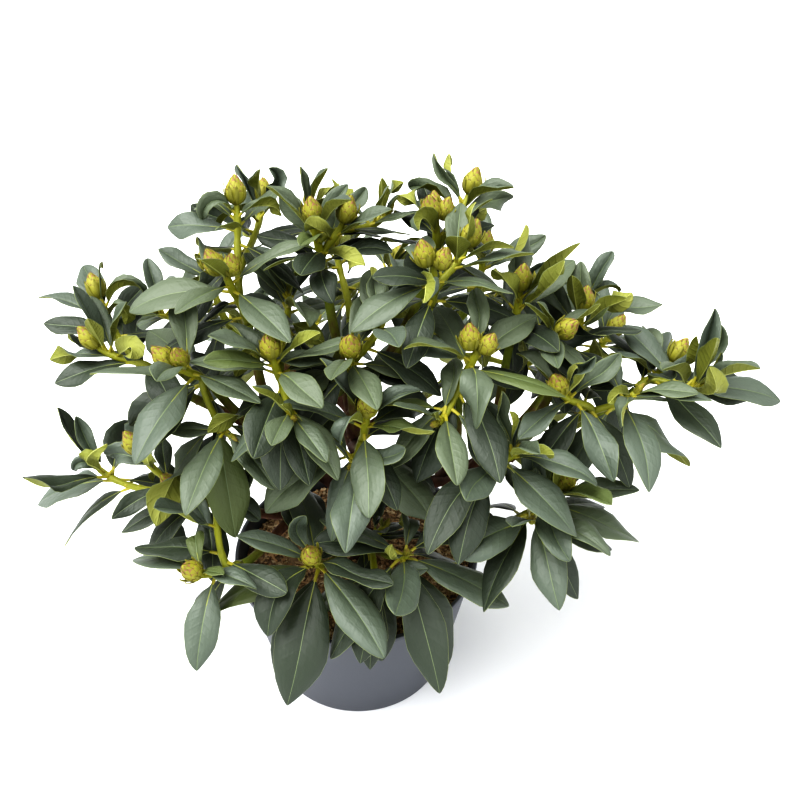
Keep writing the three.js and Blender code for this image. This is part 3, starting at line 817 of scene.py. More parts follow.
@dataclass
class Leaves:
    """Leaves as arrays with one row for each leaf; angles are in radians."""

    root: Array
    out: Array
    bend: Array
    length: Array
    width: Array
    droop: Array
    roll: Array
    twist: Array
    fold: Array
    key: Array  # its mass, shoot and place in the whorl
    vigour: Array  # how far it strays from the plain blade, from 1 down to 0
    old: Array  # whether it is of an older growth than the whorl

    @classmethod
    def joined(cls, leaves: Sequence["Leaves"]) -> "Leaves":
        """All the leaves of a list in one."""
        names = cls.__dataclass_fields__
        return cls(*(np.concatenate([getattr(leaf, name) for leaf in leaves]) for name in names))

    def part(self, chosen: Array) -> "Leaves":
        """The leaves that an array of truth values chooses."""
        return Leaves(*(getattr(self, name)[chosen] for name in self.__dataclass_fields__))

    def half_width(self, s: Array) -> Array:
        """Half the blades' widths: the half width times a power of the sine of pi x**widest.

        Here x is the share of the blade, and a stalk thins out below it.

        Args:
            s: shares of the leaves' lengths.

        Returns:
            The half widths in mm, (n, rows).
        """
        x = np.clip((s - PETIOLE) / (1 - PETIOLE), 0, 1)
        wave = np.sin(np.pi * x**PLAIN_WIDEST).clip(0)
        blade = self.width[:, None] / 2 * wave**PLAIN_BLUNTNESS
        return np.maximum(STALK_HALF * (1 - x), np.where(x > 0, blade, STALK_HALF))

    def sections(self, s: Array) -> tuple[Array, Array, Array]:
        """Where the leaves' sections lie and how they stand.

        The centre line is a parabola, root + length (out s + bend droop s s). The section
        rolls and twists about it.

        Args:
            s: shares of the leaves' lengths.

        Returns:
            The centres, the directions to the side and those away from the top, (n, rows, 3) each.
        """
        s = s[None, :, None]
        out, bend, droop = self.out[:, None], self.bend[:, None], self.droop[:, None, None]
        centre = self.root[:, None] + self.length[:, None, None] * (out * s + bend * droop * s**2)
        tangent = unit(out + 2 * droop * s * bend)
        flat = unit(np.cross(out, UP))
        side = unit(flat - (flat * tangent).sum(axis=-1, keepdims=True) * tangent)
        lift = np.cross(side, tangent)
        turn = self.roll[:, None, None] + self.twist[:, None, None] * s
        turned = side * np.cos(turn) + lift * np.sin(turn)
        return centre, turned, lift * np.cos(turn) - side * np.sin(turn)

    def shell(self, start: float = 0.0, extra: float = 0.0) -> Shell:
        """The first leaf as a coarse shell: two rings of left edge, midrib, right edge and keel.

        Args:
            start: the share of the leaf's length at which it begins.
            extra: how much further it reaches above and below the midrib, in mm.

        Returns:
            The shell.
        """
        s = np.maximum(COARSE_STATIONS, start)
        centre, side, lift = (value[0] for value in self.sections(s))
        wide = self.half_width(s)[0][:, None]
        thick = COARSE_HALF + extra
        across, upward = wide * np.cos(self.fold[0]), wide * np.sin(self.fold[0])
        ring = [centre - side * across + lift * upward, centre + lift * thick,
                centre + side * across + lift * upward, centre - lift * thick]
        return Shell(np.stack(ring, axis=1)[1:3], centre[[0, 3]])


class Trait(IntEnum):
    """What a drawn number decides about a leaf."""

    HEADING = 1
    ELEVATION = 2
    LENGTH = 3
    WIDTH = 4
    DROOP = 5
    ROLL = 6
    TWIST = 7
    FOLD = 8
    MARGIN_CURL = 9
    WAVE = 10
    WAVE_START = 11
    TOP_TONE = 12
    MOOD = 13
    UNDER_TONE = 14
    BREADTH = 15
    SWEEP = 16
    LATE_TWIST = 17
    BLUNTNESS = 18
    FRESHNESS = 19
    UNREST_START = 20
    UNEVENNESS = 21
    EVEN_TWIST = 22
    TURNING_OVER = 23


@dataclass(frozen=True)
class LeafRule:
    """How a leaf follows from its shoot, in mm and degrees.

    Each chance is the most that a leaf strays either way.
    """

    heading_chance: float = 12.0
    lowest_chance: float = 4.0  # of the lowest leaf's heading
    elevation_chance: float = 7.0
    elevation_per_try: float = 3.0
    length_chance: float = 0.09
    width_chance: float = 0.1
    droop_chance: float = 0.08
    roll_chance: float = 14.0
    fold_chance: float = 0.3
    swing: float = 13.0  # to either side, at every second further attempt
    forward: float = 0.4  # how far a leaf leans along its shoot
    width_share: float = 0.39
    lowest: float = 26.0  # below the shoot's tip
    highest: float = 8.0
    highest_size: float = 0.8  # of the highest leaf beside the lowest
    older: tuple[int, int] = (3, 4)  # leaves of an older growth below a low or a high whorl
    older_below: Pair = (32.0, 58.0)
    older_stand: float = 0.35  # how much lower than the lowest leaf the last of them stands
    high: float = 400.0  # above the floor
    young: int = 2  # small leaves above the whorl, close to the bud
    young_length: Pair = (0.62, 0.45)
    young_below: float = 4.0
    young_stand: float = 1.1  # beside 1 for the highest leaf of the whorl

    def older_leaves(self, shoot: Shoot) -> int:
        """How many leaves of an older growth a shoot bears: one alone where they hang."""
        return 1 if shoot.habit is Habit.HANG else self.older[shoot.tip[2] > self.high]

    def extras(self, shoot: Shoot) -> int:
        """How many leaves a shoot bears besides its whorl."""
        return self.older_leaves(shoot) + self.young

    def most(self) -> int:
        """The most that any shoot bears besides its whorl."""
        return max(self.older) + self.young

    def leaf(self, shoot: Shoot, stem: Limb, key: tuple[int, int, int], attempt: int) -> Leaves:
        """One leaf's plan.

        Args:
            shoot: the shoot it grows on.
            stem: that shoot's limb.
            key: the numbers of its mass and shoot, and its place in the whorl.
            attempt: 0 at first; a further attempt turns it a little from its place.

        Returns:
            The plan of a single leaf.
        """
        elevation, droop, fold, twist = shoot.habit.value
        share = key[2] / (shoot.leaves - 1)
        below = mix(self.lowest, self.highest, share)
        size = mix(1, self.highest_size, share)
        extra, older = key[2] - shoot.leaves, self.older_leaves(shoot)
        if 0 <= extra < older:
            old = (extra + 1) / older
            below, share, size = mix(*self.older_below, old), -self.older_stand * old, 1
        elif extra >= older:
            below, share = self.young_below, self.young_stand
            size = mix(*self.young_length, extra - older)

        def chance(trait: Trait) -> float:
            """A number from -1 to 1 for this leaf and attempt."""
            return 2 * draw(*key, attempt, trait) - 1

        swing = math.ceil(attempt / 2) * (self.swing if attempt % 2 else -self.swing)
        jitter = self.heading_chance if key[2] else self.lowest_chance
        spiral = math.copysign(GOLDEN_ANGLE, shoot.turn) * key[2]
        azimuth = abs(shoot.turn) + spiral + swing + jitter * chance(Trait.HEADING)
        sway = self.elevation_chance + self.elevation_per_try * attempt
        t = max(FREE, 1 - below / stem.length())
        facing = heading(azimuth, mix(*elevation, share) + sway * chance(Trait.ELEVATION))
        out = unit(facing + self.forward * stem.tangent(t))
        length = shoot.length * size * (1 + self.length_chance * chance(Trait.LENGTH))
        width = length * self.width_share * (1 + self.width_chance * chance(Trait.WIDTH))
        folded = math.radians(mix(*fold, share)) * (1 + self.fold_chance * chance(Trait.FOLD))
        single = [
            stem.on_axis(t), out, unit(DOWN - DOWN @ out * out), length, width,
            mix(*droop, share) + self.droop_chance * chance(Trait.DROOP),
            math.radians(self.roll_chance) * chance(Trait.ROLL),
            math.radians(twist) * chance(Trait.TWIST),
            folded, key, 1.0, 0 <= extra < older,
        ]
        return Leaves(*(np.array([value]) for value in single))


@dataclass
class BudSpot:
    """A bud's foot, direction and size beside a flower bud of full size."""

    foot: Array
    along: Array
    size: float
    slim: float = 1.0  # its width beside its length; below 1 it is a leaf bud


@dataclass
class Mass:
    """A bough's leafy end: its shoots' limbs and buds, and what its leaves must clear."""

    row: Bough
    stems: list[Limb]
    buds: list[BudSpot]
    solid: list[Shell]  # its shoots and flower buds as they are shown
    blades: list[Shell]  # plain shoots and flower buds, and then the leaves' free parts
    wholes: list[Shell]  # the same with the whole leaves
    leaves: list[Leaves] = field(default_factory=list)


@dataclass(frozen=True)
class BudRule:
    """How the buds at a shoot's tip stand and how large they are, in mm and degrees."""

    length: float = 27.0
    radius: float = 9.0
    taper: float = 0.22
    sunk: float = 2.0
    lean: float = 0.85  # of the second and third bud, beside the shoot's direction
    side_size: float = 0.88
    side_heading: float = 75.0
    side_step: float = 120.0
    leaf_bud_size: float = 0.55
    leaf_bud_slim: float = 0.62
    apart: float = 6.5  # from the tip to the foot of each, where several stand side by side
    apart_sunk: float = 4.0
    apart_lean: float = 0.25
    apart_heading: float = 345.0  # of the second bud; the others follow at even steps
    shell_angle: float = 60.0  # from either end of the egg to the shell's two rings

    def spots(self, shoot: Shoot, stem: Limb) -> list[BudSpot]:
        """The buds of a shoot by the solids' rule.

        The first flower bud stands upright on the tip and the others lean away.

        Args:
            shoot: the shoot.
            stem: its limb.

        Returns:
            Its flower buds, or one leaf bud where it has none.
        """
        axis, tip = stem.tangent(1.0), stem.point(1.0)
        found = []
        for i in range(shoot.buds):
            away = heading(abs(shoot.turn) + self.side_heading + i * self.side_step)
            along = unit(axis + self.lean * away) if i else axis
            found.append(BudSpot(tip - self.sunk * along, along, self.side_size if i else 1.0))
        return found or [BudSpot(tip - self.sunk * axis, axis, self.leaf_bud_size, self.leaf_bud_slim)]

    def shown(self, shoot: Shoot, stem: Limb) -> list[BudSpot]:
        """The same buds, but where there are several they stand side by side round the tip.

        Args:
            shoot: the shoot.
            stem: its limb.

        Returns:
            Its buds.
        """
        spots = self.spots(shoot, stem)
        if len(spots) == 1:
            return spots
        axis, tip = stem.tangent(1.0), stem.point(1.0)
        for i, spot in enumerate(spots):
            away = heading(self.apart_heading + 360 * (i - 1) / len(spots))
            away = unit(away - away @ axis * axis)
            spot.along = unit(axis + self.apart_lean * away)
            spot.foot = tip - self.apart_sunk * spot.along + self.apart * away
        return spots

    def shell(self, spot: BudSpot) -> Shell:
        """A bud as a coarse shell: two rings of six points about an egg, and its two ends.

        Args:
            spot: where the bud stands.

        Returns:
            The shell.
        """
        side, lift = square(spot.along)
        y = np.cos(np.radians([180 - self.shell_angle, self.shell_angle]))[:, None, None]
        swell = spot.size * spot.slim * self.radius * (1 - self.taper * y)
        swell = swell * np.sin(np.radians(self.shell_angle))
        tall = spot.size * (self.length + self.sunk)
        angle = (-np.pi / 3 * np.arange(6))[None, :, None]
        ring = spot.foot + spot.along * (0.5 + 0.5 * y) * tall
        grid = ring + swell * (np.cos(angle) * side + np.sin(angle) * lift)
        return Shell(grid, np.stack([spot.foot, spot.foot + spot.along * tall]))


@dataclass(frozen=True)
class LimbRule:
    """How the trunk, the boughs and the shoots run, in mm."""

    foot: Triple = (4, 8, 150.3)
    fork: Triple = (6, 2, 232)
    trunk_radius: Pair = (12.5, 10.5)
    trunk_steps: int = 5
    trunk_rise: float = 1.0
    bough_rise: float = 0.5
    bough_lead: float = 0.5  # how far a bough first keeps to its parent's direction
    bough_step: float = 56.0  # between the bends of its plain tube
    shoot_rise: float = 0.8
    shoot_lead: float = 0.6
    shoot_step: float = 22.0
    shoot_radius: Pair = (4.4, 3.3)
    first_fork: float = 0.3  # where the second shoot leaves the first, as a share of its length
    next_fork: float = 0.16  # and how much further on each later one leaves it

    def steps(self, start: Array, end: Array, step: float) -> int:
        """How many straight stretches of about a step's length lead from start to end."""
        return max(EVEN_STEPS, round(float(np.linalg.norm(end - start)) / step))

    def trunk(self) -> Limb:
        """The trunk's limb."""
        foot, fork = np.array(self.foot, float), np.array(self.fork, float)
        return Limb.grown(foot, UP, fork, self.trunk_rise, self.trunk_steps, self.trunk_radius)

    def bough(self, row: Bough, parent: Limb) -> Limb:
        """A bough's limb, which first keeps a little to its parent's direction.

        Args:
            row: the bough's row of the table.
            parent: the limb that it leaves.

        Returns:
            The limb. Where it leaves its parent's very end, a small gap lies between them.
        """
        start, end = parent.on_axis(row.at), np.array(row.tip, float)
        along = start if row.at < 1 else start + GAP * parent.tangent(1.0)
        lead = unit(unit(end - start) + self.bough_lead * parent.tangent(row.at))
        steps = self.steps(start, end, self.bough_step)
        return Limb.grown(along, lead, end, self.bough_rise, steps, row.radius)

    def shoots(self, row: Bough, limb: Limb) -> list[Limb]:
        """A bough's shoots: the first carries on from its tip, the others fork off that one.

        Args:
            row: the bough's row of the table.
            limb: its limb.

        Returns:
            The shoots' limbs.
        """
        tangent = limb.tangent(1.0)
        stems: list[Limb] = []
        for i, shoot in enumerate(row.shoots):
            end = np.array(shoot.tip, float)
            start, lead = np.array(row.tip) + GAP * tangent, tangent
            if i:
                share = self.first_fork + self.next_fork * (i - 1)
                start = stems[0].on_axis(share)
                lead = unit(unit(end - start) + self.shoot_lead * stems[0].tangent(share))
            radius = (self.shoot_radius[0] if i else row.radius[1], self.shoot_radius[1])
            steps = self.steps(start, end, self.shoot_step)
            stems.append(Limb.grown(start, lead, end, self.shoot_rise, steps, radius))
        return stems


class Growth:
    """The limbs, shoots, buds and leaves that the table and the rules give."""

    def __init__(self, crown: Sequence[Bough], fixed: list[Shell]) -> None:
        """Grows everything.

        Args:
            crown: the table's boughs, each after the limb that it leaves.
            fixed: shells that the leaves keep clear of.
        """
        self.limb_rule, self.leaf_rule, self.bud_rule = LimbRule(), LeafRule(), BudRule()
        self.limbs = {"trunk": self.limb_rule.trunk()}
        for row in crown:
            self.limbs[row.name] = self.limb_rule.bough(row, self.limbs[row.parent])
        self.fixed = fixed + [limb.coarse(LIMB_SIDES, CLEAR) for limb in self.limbs.values()]
        self.masses = [self.mass(row) for row in crown]
        self.fill()

    def mass(self, row: Bough) -> Mass:
        """A bough's mass before it has leaves.

        Args:
            row: the bough's row of the table.

        Returns:
            The mass. Its whorls grow round the solids' buds, and it shows its buds side by side.
        """
        stems = self.limb_rule.shoots(row, self.limbs[row.name])
        pairs = list(zip(row.shoots, stems))
        plain = [spot for pair in pairs for spot in self.bud_rule.spots(*pair)]
        shown = [spot for pair in pairs for spot in self.bud_rule.shown(*pair)]
        shells = self.shells(stems, plain)
        return Mass(row, stems, shown, self.shells(stems, shown), shells, list(shells))

    def shells(self, stems: Sequence[Limb], spots: Sequence[BudSpot]) -> list[Shell]:
        """The shells of some shoots and flower buds; leaf buds are too small to need one."""
        buds = [self.bud_rule.shell(spot) for spot in spots if spot.slim == 1.0]
        return [stem.coarse(SHOOT_SIDES) for stem in stems] + buds

    def fill(self) -> None:
        """Gives every shoot its leaves, one place of the whorls after another."""
        most = max(shoot.leaves for mass in self.masses for shoot in mass.row.shoots)
        for place in range(most):
            self.add_leaves(lambda shoot: place if place < shoot.leaves else None)
        for place in range(self.leaf_rule.most()):
            self.add_leaves(
                lambda shoot: place + shoot.leaves if place < self.leaf_rule.extras(shoot) else None
            )

    def add_leaves(self, place_of: Callable[[Shoot], int | None]) -> None:
        """Gives each shoot one more leaf, where it fits.

        Args:
            place_of: gives the leaf's place on a shoot, or None for no leaf.
        """
        for m, mass in enumerate(self.masses):
            for i, shoot in enumerate(mass.row.shoots):
                place = place_of(shoot)
                for attempt in range(TRIES if place is not None else 0):
                    leaf = self.leaf_rule.leaf(shoot, mass.stems[i], (m, i, place), attempt)
                    if self.fits(leaf, mass):
                        mass.leaves.append(leaf)
                        mass.blades.append(leaf.shell(FREE))
                        mass.wholes.append(leaf.shell())
                        break

    def fits(self, leaf: Leaves, mass: Mass) -> bool:
        """Whether a leaf clears the limbs, its own mass's blades and the other masses.

        Args:
            leaf: the single leaf.
            mass: the mass that it would belong to.

        Returns:
            True if it crosses none of them.
        """
        whole, blade = leaf.shell(0.0, CLEAR), leaf.shell(FREE)
        if any(whole.crosses(other) for other in self.fixed):
            return False
        if any(blade.crosses(other) for other in mass.blades):
            return False
        others = (shell for other in self.masses if other is not mass for shell in other.wholes)
        return not any(whole.crosses(shell) for shell in others)

    def all_leaves(self) -> Leaves:
        """Every leaf of the plant."""
        return Leaves.joined([leaf for mass in self.masses for leaf in mass.leaves])

    def obstacles(self) -> list[BVHTree]:
        """What the shown blades must clear.

        Returns:
            Search trees of the shoots and flower buds as shown, and of the limbs.
        """
        shells = [shell for mass in self.masses for shell in mass.solid]
        shells += [limb.coarse(CLOSE_SIDES) for limb in self.limbs.values()]
        return [shell.faces() for shell in shells]


# ---------------- the parts of the plant

RING = 20  # points round a blade's section; the first 11 run over its top from margin to margin
TOP_END = 10  # the last of those 11, so a place on the underside is this much further on
HALVES = np.array([1, 2, 3, 6, 7, 8])  # of the ten strips between those 11, the green ones
RIBS = np.array([4, 5])  # and the midrib's; the first and the last are the margins
# What is left of the vigour and of the size of leaves that touch, round after round.
CALMING = ((0.75, 1), (0.7, 1), (0.6, 1), (0.5, 1), (0, 1), (0, 0.92), (0, 0.92))


@dataclass(frozen=True)
class Foliage:
    """Fine leaf blades: folded halves with rolled margins, a sunk midrib and a keel below.

    A leaf that stands up is lively: it bends, folds and twists more than one that hangs. In the
    formulas s is the share of a leaf's length. Angles are in radians, lengths in mm. Arrays
    have n leaves and a row for each station, where a section stands.
    """

    leaves: Leaves
    thickness: float = 0.7
    thinning: float = 0.55  # share of it that the margin lacks
    rib: float = 0.7  # the midrib's half width
    rib_taper: float = 0.75  # share of it that the tip lacks
    groove: float = 0.4  # how far it lies below the blade's top
    keel: float = 0.8  # how far it stands out underneath
    keel_left: float = 0.3  # share of that at the tip
    margin: float = 0.45
    margin_from: float = 0.75  # share of the half width where the margin starts at the earliest
    lines: Pair = (0.36, 0.72)  # of points between midrib and margin
    yellow_foot: float = 0.3  # the midrib is yellow up to this share of the leaf
    stations: tuple[float, ...] = (
        -0.03, 0.05, 0.11, 0.15, 0.175, 0.225, 0.295, 0.38, 0.485, 0.59, 0.69, 0.78, 0.86, 0.925,
        0.965, 0.99,
    )
    first: int = 3  # station from which a leaf has to clear the others
    blade_starts: Pair = (0.11, 0.2)  # over these shares the stalk turns flat
    stalk_foot: Pair = (1.25, 2.0)  # its size at s = 0, and how fast that shrinks
    stalk_bounds: Pair = (0.9, 1.4)
    stalk_flat: float = 0.8  # its height beside its width

    lively_rise: Pair = (0.05, 0.7)  # a leaf's rise, from not lively to fully so
    lively_slimmer: float = 0.1
    lively_widest: float = 0.15
    lively_blunter: float = 0.14
    lively_shorter: float = 0.1
    lively_fold: float = 0.9
    breadth_chance: float = 0.12
    bluntness: float = 0.74  # power of the outline's sine
    bluntness_chance: float = 0.08

    late_twist: Pair = (0.3, 0.9)  # in all leaves, and more in lively ones
    even_twist: float = 0.7
    over: float = 2.0  # how far some leaves turn their ends over
    over_chance: Pair = (0.4, 0.6)  # draws beyond these don't, or do so fully
    over_stretch: Pair = (0.45, 0.9)  # shares of the leaf over which they turn
    over_height: Pair = (330.0, 480.0)  # those that spring above these do
    over_left: float = 0.5  # the bound sinks by this much for each mm to the left

    mood_curl: float = 2.6  # up or down, by a leaf's mood
    steady_curl: float = 0.2  # down
    moody_curl: float = 0.12  # down, by how strong its mood is
    curl_stretch: Pair = (0.3, 1.05)
    sweep: float = 0.3
    unrest: Pair = (0.2, 0.14)  # of the waves up and down, and to the sides
    unrest_steady: float = 0.3  # in all leaves, beside 1 in lively ones
    unrest_waves: Pair = (8.0, 6.5)
    unrest_stretch: Pair = (0.1, 0.5)

    unevenness: float = 0.35  # how much more one half folds than the other
    fold_shape: Pair = (1.35, 0.4)  # a half's first slope, and how it levels out
    margin_curl: Pair = (0.17, 0.14)  # in all leaves, and by chance
    curl_width: float = 0.1  # how far the curl widens a blade near its midrib
    wave: Pair = (0.14, 0.08)  # in all leaves, and by chance
    wave_lively: Pair = (0.7, 0.6)
    waves: float = 1.7  # along a leaf
    wave_shift: float = 1.3  # between its two halves
    ragged: Triple = (0.05, 14.0, 2.0)  # depth, waves and shift of the margin
    tilt_from: Pair = (0.05, 0.3)  # shares of the half width, from level to tilted

    # Painted shade and painted light: darker tones are dealt out low down, where the crown shades the
    # leaves, and lighter ones high up, where the light falls from above.
    dark: float = 0.25  # how much darker tones are dealt out low down
    dark_heights: Pair = (240.0, 340.0)  # fully below the first, not above the last
    light: float = 0.6  # how much lighter they are high up
    light_heights: Pair = (300.0, 520.0)  # not below the first, fully above the last
    tone_bounds: Triple = (0.3, 0.8, 1.1)
    fresh_above: float = 0.92  # draws that give a fresh green leaf
    pale_above: float = 0.2  # draws that give a pale underside
    slots = (*TOPS, *UNDERS, RIB_TOP, RIB_UNDER, MARGIN, STALK, RIB_FOOT)

    def part(self, chosen: Array) -> "Foliage":
        """The same for the leaves that an array of truth values chooses."""
        return Foliage(self.leaves.part(chosen))

    def build(self, name: str) -> bpy.types.Object:
        """Makes the leaves one piece.

        Args:
            name: the piece's name.

        Returns:
            The piece, with the map Blade for its veins and a tile of OFBake for each slot.
        """
        grid, across, tip = self.grid()
        along = np.broadcast_to(np.array(self.stations)[:, None], across.shape)
        marks = np.stack([along, 0.5 + across / 2], axis=-1)
        skins = Skins()
        root = grid[:, 0].mean(axis=1)
        skins.add(grid, np.stack([root, tip], axis=1), self.slot_grid(), marks)
        return skins.piece(name, self.slots, mark_map="Blade", tiles=True)

    def wander(self, trait: Trait) -> Array:
        """A number from -1 to 1 for each leaf, by its key."""
        return np.array([2 * draw(*key, 0, trait) - 1 for key in self.leaves.key.tolist()])

    def stray(self, trait: Trait) -> Array:
        """The same for a leaf's shape, less where the leaf had to give way; (n, 1)."""
        return (self.wander(trait) * self.leaves.vigour)[:, None]

    def lively(self) -> Array:
        """0 for a leaf that hangs and 1 for one that stands up, which bends the most; (n, 1)."""
        return (smooth(*self.lively_rise, self.leaves.out[:, 2]) * self.leaves.vigour)[:, None]

    def outline(self, s: Array) -> Array:
        """The blades' half widths.

        They are the half width times a power of the sine of pi x**widest, where x is the share
        of the blade. Width, power and widest place differ from leaf to leaf.

        Args:
            s: shares of the leaves' lengths.

        Returns:
            The half widths, (n, rows).
        """
        x = np.clip((s - PETIOLE) / (1 - PETIOLE), 0, 1)
        lively = self.lively()
        own = 1 + self.breadth_chance * self.stray(Trait.BREADTH) - self.lively_slimmer * lively
        blunt = self.bluntness - self.lively_blunter * lively
        blunt = blunt - self.bluntness_chance * self.stray(Trait.BLUNTNESS)
        widest = PLAIN_WIDEST + self.lively_widest * lively
        blade = self.leaves.width[:, None] / 2 * own * np.sin(np.pi * x**widest).clip(0) ** blunt
        return np.maximum(STALK_HALF * (1 - x), blade)

    def grid(self) -> tuple[Array, Array, Array]:
        """The leaves' points: each section, laid square to the leaf's bent centre line.

        The stalk's sections are ellipses, which turn into the blade's over a short stretch.

        Returns:
            The points, (n, rows, ring, 3), how far across the blade each lies, from -1 at one
            margin to 1 at the other, and the leaves' tips, (n, 3).
        """
        s = np.array(self.stations)
        half = self.outline(s)
        near = np.minimum(1, self.rib * (1 - self.rib_taper * s) / half)
        edge = np.maximum(1 - self.margin / half, self.margin_from)
        inner, outer = (mix(near, edge, line) for line in self.lines)
        zero, one = np.zeros_like(half), np.ones_like(half)
        top = [-one, -edge, -outer, -inner, -near, zero, near, inner, outer, edge, one]
        under = [edge, outer, inner, near, zero, -near, -inner, -outer, -edge]
        across = np.stack(top + under, axis=-1)
        x, z = self.section(s, half, across)

        angle = np.pi * (1 - np.arange(RING) / TOP_END)
        start, loss = self.stalk_foot
        stalk = STALK_HALF * np.clip(start - loss * s, *self.stalk_bounds)[None, :, None]
        blade = smooth(*self.blade_starts, s)[None, :, None]
        x = mix(stalk * np.cos(angle), x, blade)
        z = mix(stalk * self.stalk_flat * np.sin(angle), z, blade)
        more = self.further_twist(s)
        x, z = x * np.cos(more) - z * np.sin(more), x * np.sin(more) + z * np.cos(more)
        centre, side, lift = self.axis(np.append(s, 1.0))
        grid = (centre[:, :-1, None] + side[:, :-1, None] * x[..., None]
                + lift[:, :-1, None] * z[..., None])
        return grid, across, centre[:, -1]

    def further_twist(self, s: Array) -> Array:
        """How far the sections twist beyond the rule's plan.

        One twist grows with s, another with the square of s. Some leaves at the top, and lower
        down on the left, also turn their ends over, with an S-shaped rise along the leaf.

        Args:
            s: shares of the leaves' lengths.

        Returns:
            The angles, (n, rows, 1).
        """
        lively = self.lively()
        steady, more = self.late_twist
        twist = (steady + more * lively) * self.stray(Trait.LATE_TWIST) * s**2
        twist = twist + self.even_twist * lively * self.stray(Trait.EVEN_TWIST) * s
        whim = self.stray(Trait.TURNING_OVER)
        root = self.leaves.root
        raised = root[:, 2] - self.over_left * np.minimum(root[:, 0], 0)
        high = smooth(*self.over_height, raised)[:, None]
        over = self.over * np.sign(whim) * smooth(*self.over_chance, np.abs(whim)) * high
        return (twist + over * smooth(*self.over_stretch, s))[..., None]

    def axis(self, s: Array) -> tuple[Array, Array, Array]:
        """The rule's centre line and its directions, bent on step by step.

        Each leaf curls up or down towards its tip with an S-shaped rise, by its mood times the
        root of its mood. It sweeps aside in proportion to s, and slow sine waves add to both.

        Args:
            s: shares of the leaves' lengths.

        Returns:
            The centres, the directions to the side and those away from the top, (n, rows, 3) each.
        """
        centre, side, lift = self.leaves.sections(s)
        along = np.cross(lift, side)
        lively = self.lively()
        phase = np.pi * self.wander(Trait.UNREST_START)[:, None]
        mood = self.stray(Trait.MOOD)
        unrest = (self.unrest_steady + lively) * self.leaves.vigour[:, None]
        unrest = unrest * smooth(*self.unrest_stretch, s)
        curl = lively * (self.mood_curl * mood * np.sqrt(np.abs(mood)) - self.steady_curl)
        curl = (curl - self.moody_curl * np.abs(mood)) * smooth(*self.curl_stretch, s)
        (rocking, swaying), (fast, slow) = self.unrest, self.unrest_waves
        up = (curl + rocking * unrest * np.sin(fast * s - 2 * phase))[..., None]
        sweep = self.sweep * self.stray(Trait.SWEEP) * s
        aside = (sweep + swaying * unrest * np.sin(slow * s + phase))[..., None]
        raised = along * np.cos(up) + lift * np.sin(up)
        lift = lift * np.cos(up) - along * np.sin(up)
        turned = raised * np.cos(aside) + side * np.sin(aside)
        side = side * np.cos(aside) - raised * np.sin(aside)
        steps = np.linalg.norm(np.diff(centre, axis=1), axis=-1, keepdims=True)
        steps = steps * (1 - self.lively_shorter * lively[..., None])
        steps = steps * (turned[:, 1:] + turned[:, :-1]) / 2
        centre = np.concatenate([centre[:, :1], steps], axis=1).cumsum(axis=1)
        return centre, side, lift

    def section(self, s: Array, half: Array, across: Array) -> tuple[Array, Array]:
        """Where a section's points lie beside the midrib.

        With v the share of the way to the margin, a half rises by the sine of its fold times a
        slope v less some v**2, less a curl v**3, plus a slow wave v**2, all times the half
        width. One half folds more than the other. Top and under side part by the thickness,
        square to the blade, which thins out with v**6. The midrib lies in a groove, over a keel.

        Args:
            s: shares of the leaves' lengths.
            half: the half widths, (n, rows).
            across: how far across each point lies, (n, rows, ring).

        Returns:
            How far each point lies to the side and above, (n, rows, ring) each.
        """
        wide, far, sign = half[..., None], np.abs(across), np.sign(across)
        lively, along = self.lively()[..., None], s[None, :, None]
        uneven = 1 + self.unevenness * self.stray(Trait.UNEVENNESS)[..., None] * sign
        fold = self.leaves.fold[:, None, None] * (1 + self.lively_fold * lively) * uneven
        (steady_curl, any_curl), (steady_wave, any_wave) = self.margin_curl, self.wave
        curl = steady_curl + any_curl * self.stray(Trait.MARGIN_CURL)[..., None]
        wave = steady_wave + any_wave * self.stray(Trait.WAVE)[..., None]
        wave = wave * (self.wave_lively[0] + self.wave_lively[1] * lively)
        phase = np.pi * self.wander(Trait.WAVE_START)[:, None, None]
        slow = np.sin(2 * np.pi * self.waves * along + phase + self.wave_shift * sign)
        first, level = self.fold_shape
        rise = np.sin(fold) * (first * far - level * far**2) - curl * far**3 + wave * far**2 * slow
        depth, fast, shift = self.ragged
        ragged = 1 + depth * np.sin(fast * along + 2 * phase + shift * sign)
        x = wide * ragged * across * (np.cos(fold) + self.curl_width * curl * (1 - far))
        z = wide * rise
        slope = np.sin(fold) * (first - 2 * level * far) - 3 * curl * far**2 + 2 * wave * far * slow
        tilt = sign * np.arctan2(slope, ragged * np.cos(fold)) * smooth(*self.tilt_from, far)
        place = np.arange(RING)
        body = self.thickness / 2 * (1 - self.thinning * far**6)
        ribbed = np.where(far < 0.01, 1.0, 0.0)
        fade = (1 - s)[None, :, None]
        top = body - ribbed * self.groove * fade
        bottom = -body - ribbed * self.keel * (self.keel_left + fade)
        apart = np.where(place <= TOP_END, top, bottom) * (place % TOP_END > 0)
        return x - apart * np.sin(tilt), z + apart * np.cos(tilt)

    def touching(self, others: Sequence[BVHTree], both: bool) -> Array:
        """Which leaves' blades touch one another or something else.

        Args:
            others: search trees of what blades must not touch.
            both: whether both of two leaves that touch count, or only the later one.

        Returns:
            A truth value for each leaf.
        """
        faces = layout(len(self.stations), RING)[0][self.first :].reshape(-1, 4).tolist()
        grid = self.grid()[0]
        trees = [BVHTree.FromPolygons(blade.reshape(-1, 3).tolist(), faces) for blade in grid]
        free = grid[:, self.first :]
        low, high = free.min(axis=(1, 2)), free.max(axis=(1, 2))
        touched = np.array([any(tree.overlap(other) for other in others) for tree in trees])
        for i, tree in enumerate(trees):
            near = np.all((low[:i] <= high[i]) & (high[:i] >= low[i]), axis=1)
            for j in np.flatnonzero(near):
                if tree.overlap(trees[j]):
                    touched[i] = True
                    touched[j] |= both
        log.info("%d of %d blades touch", touched.sum(), len(touched))
        return touched

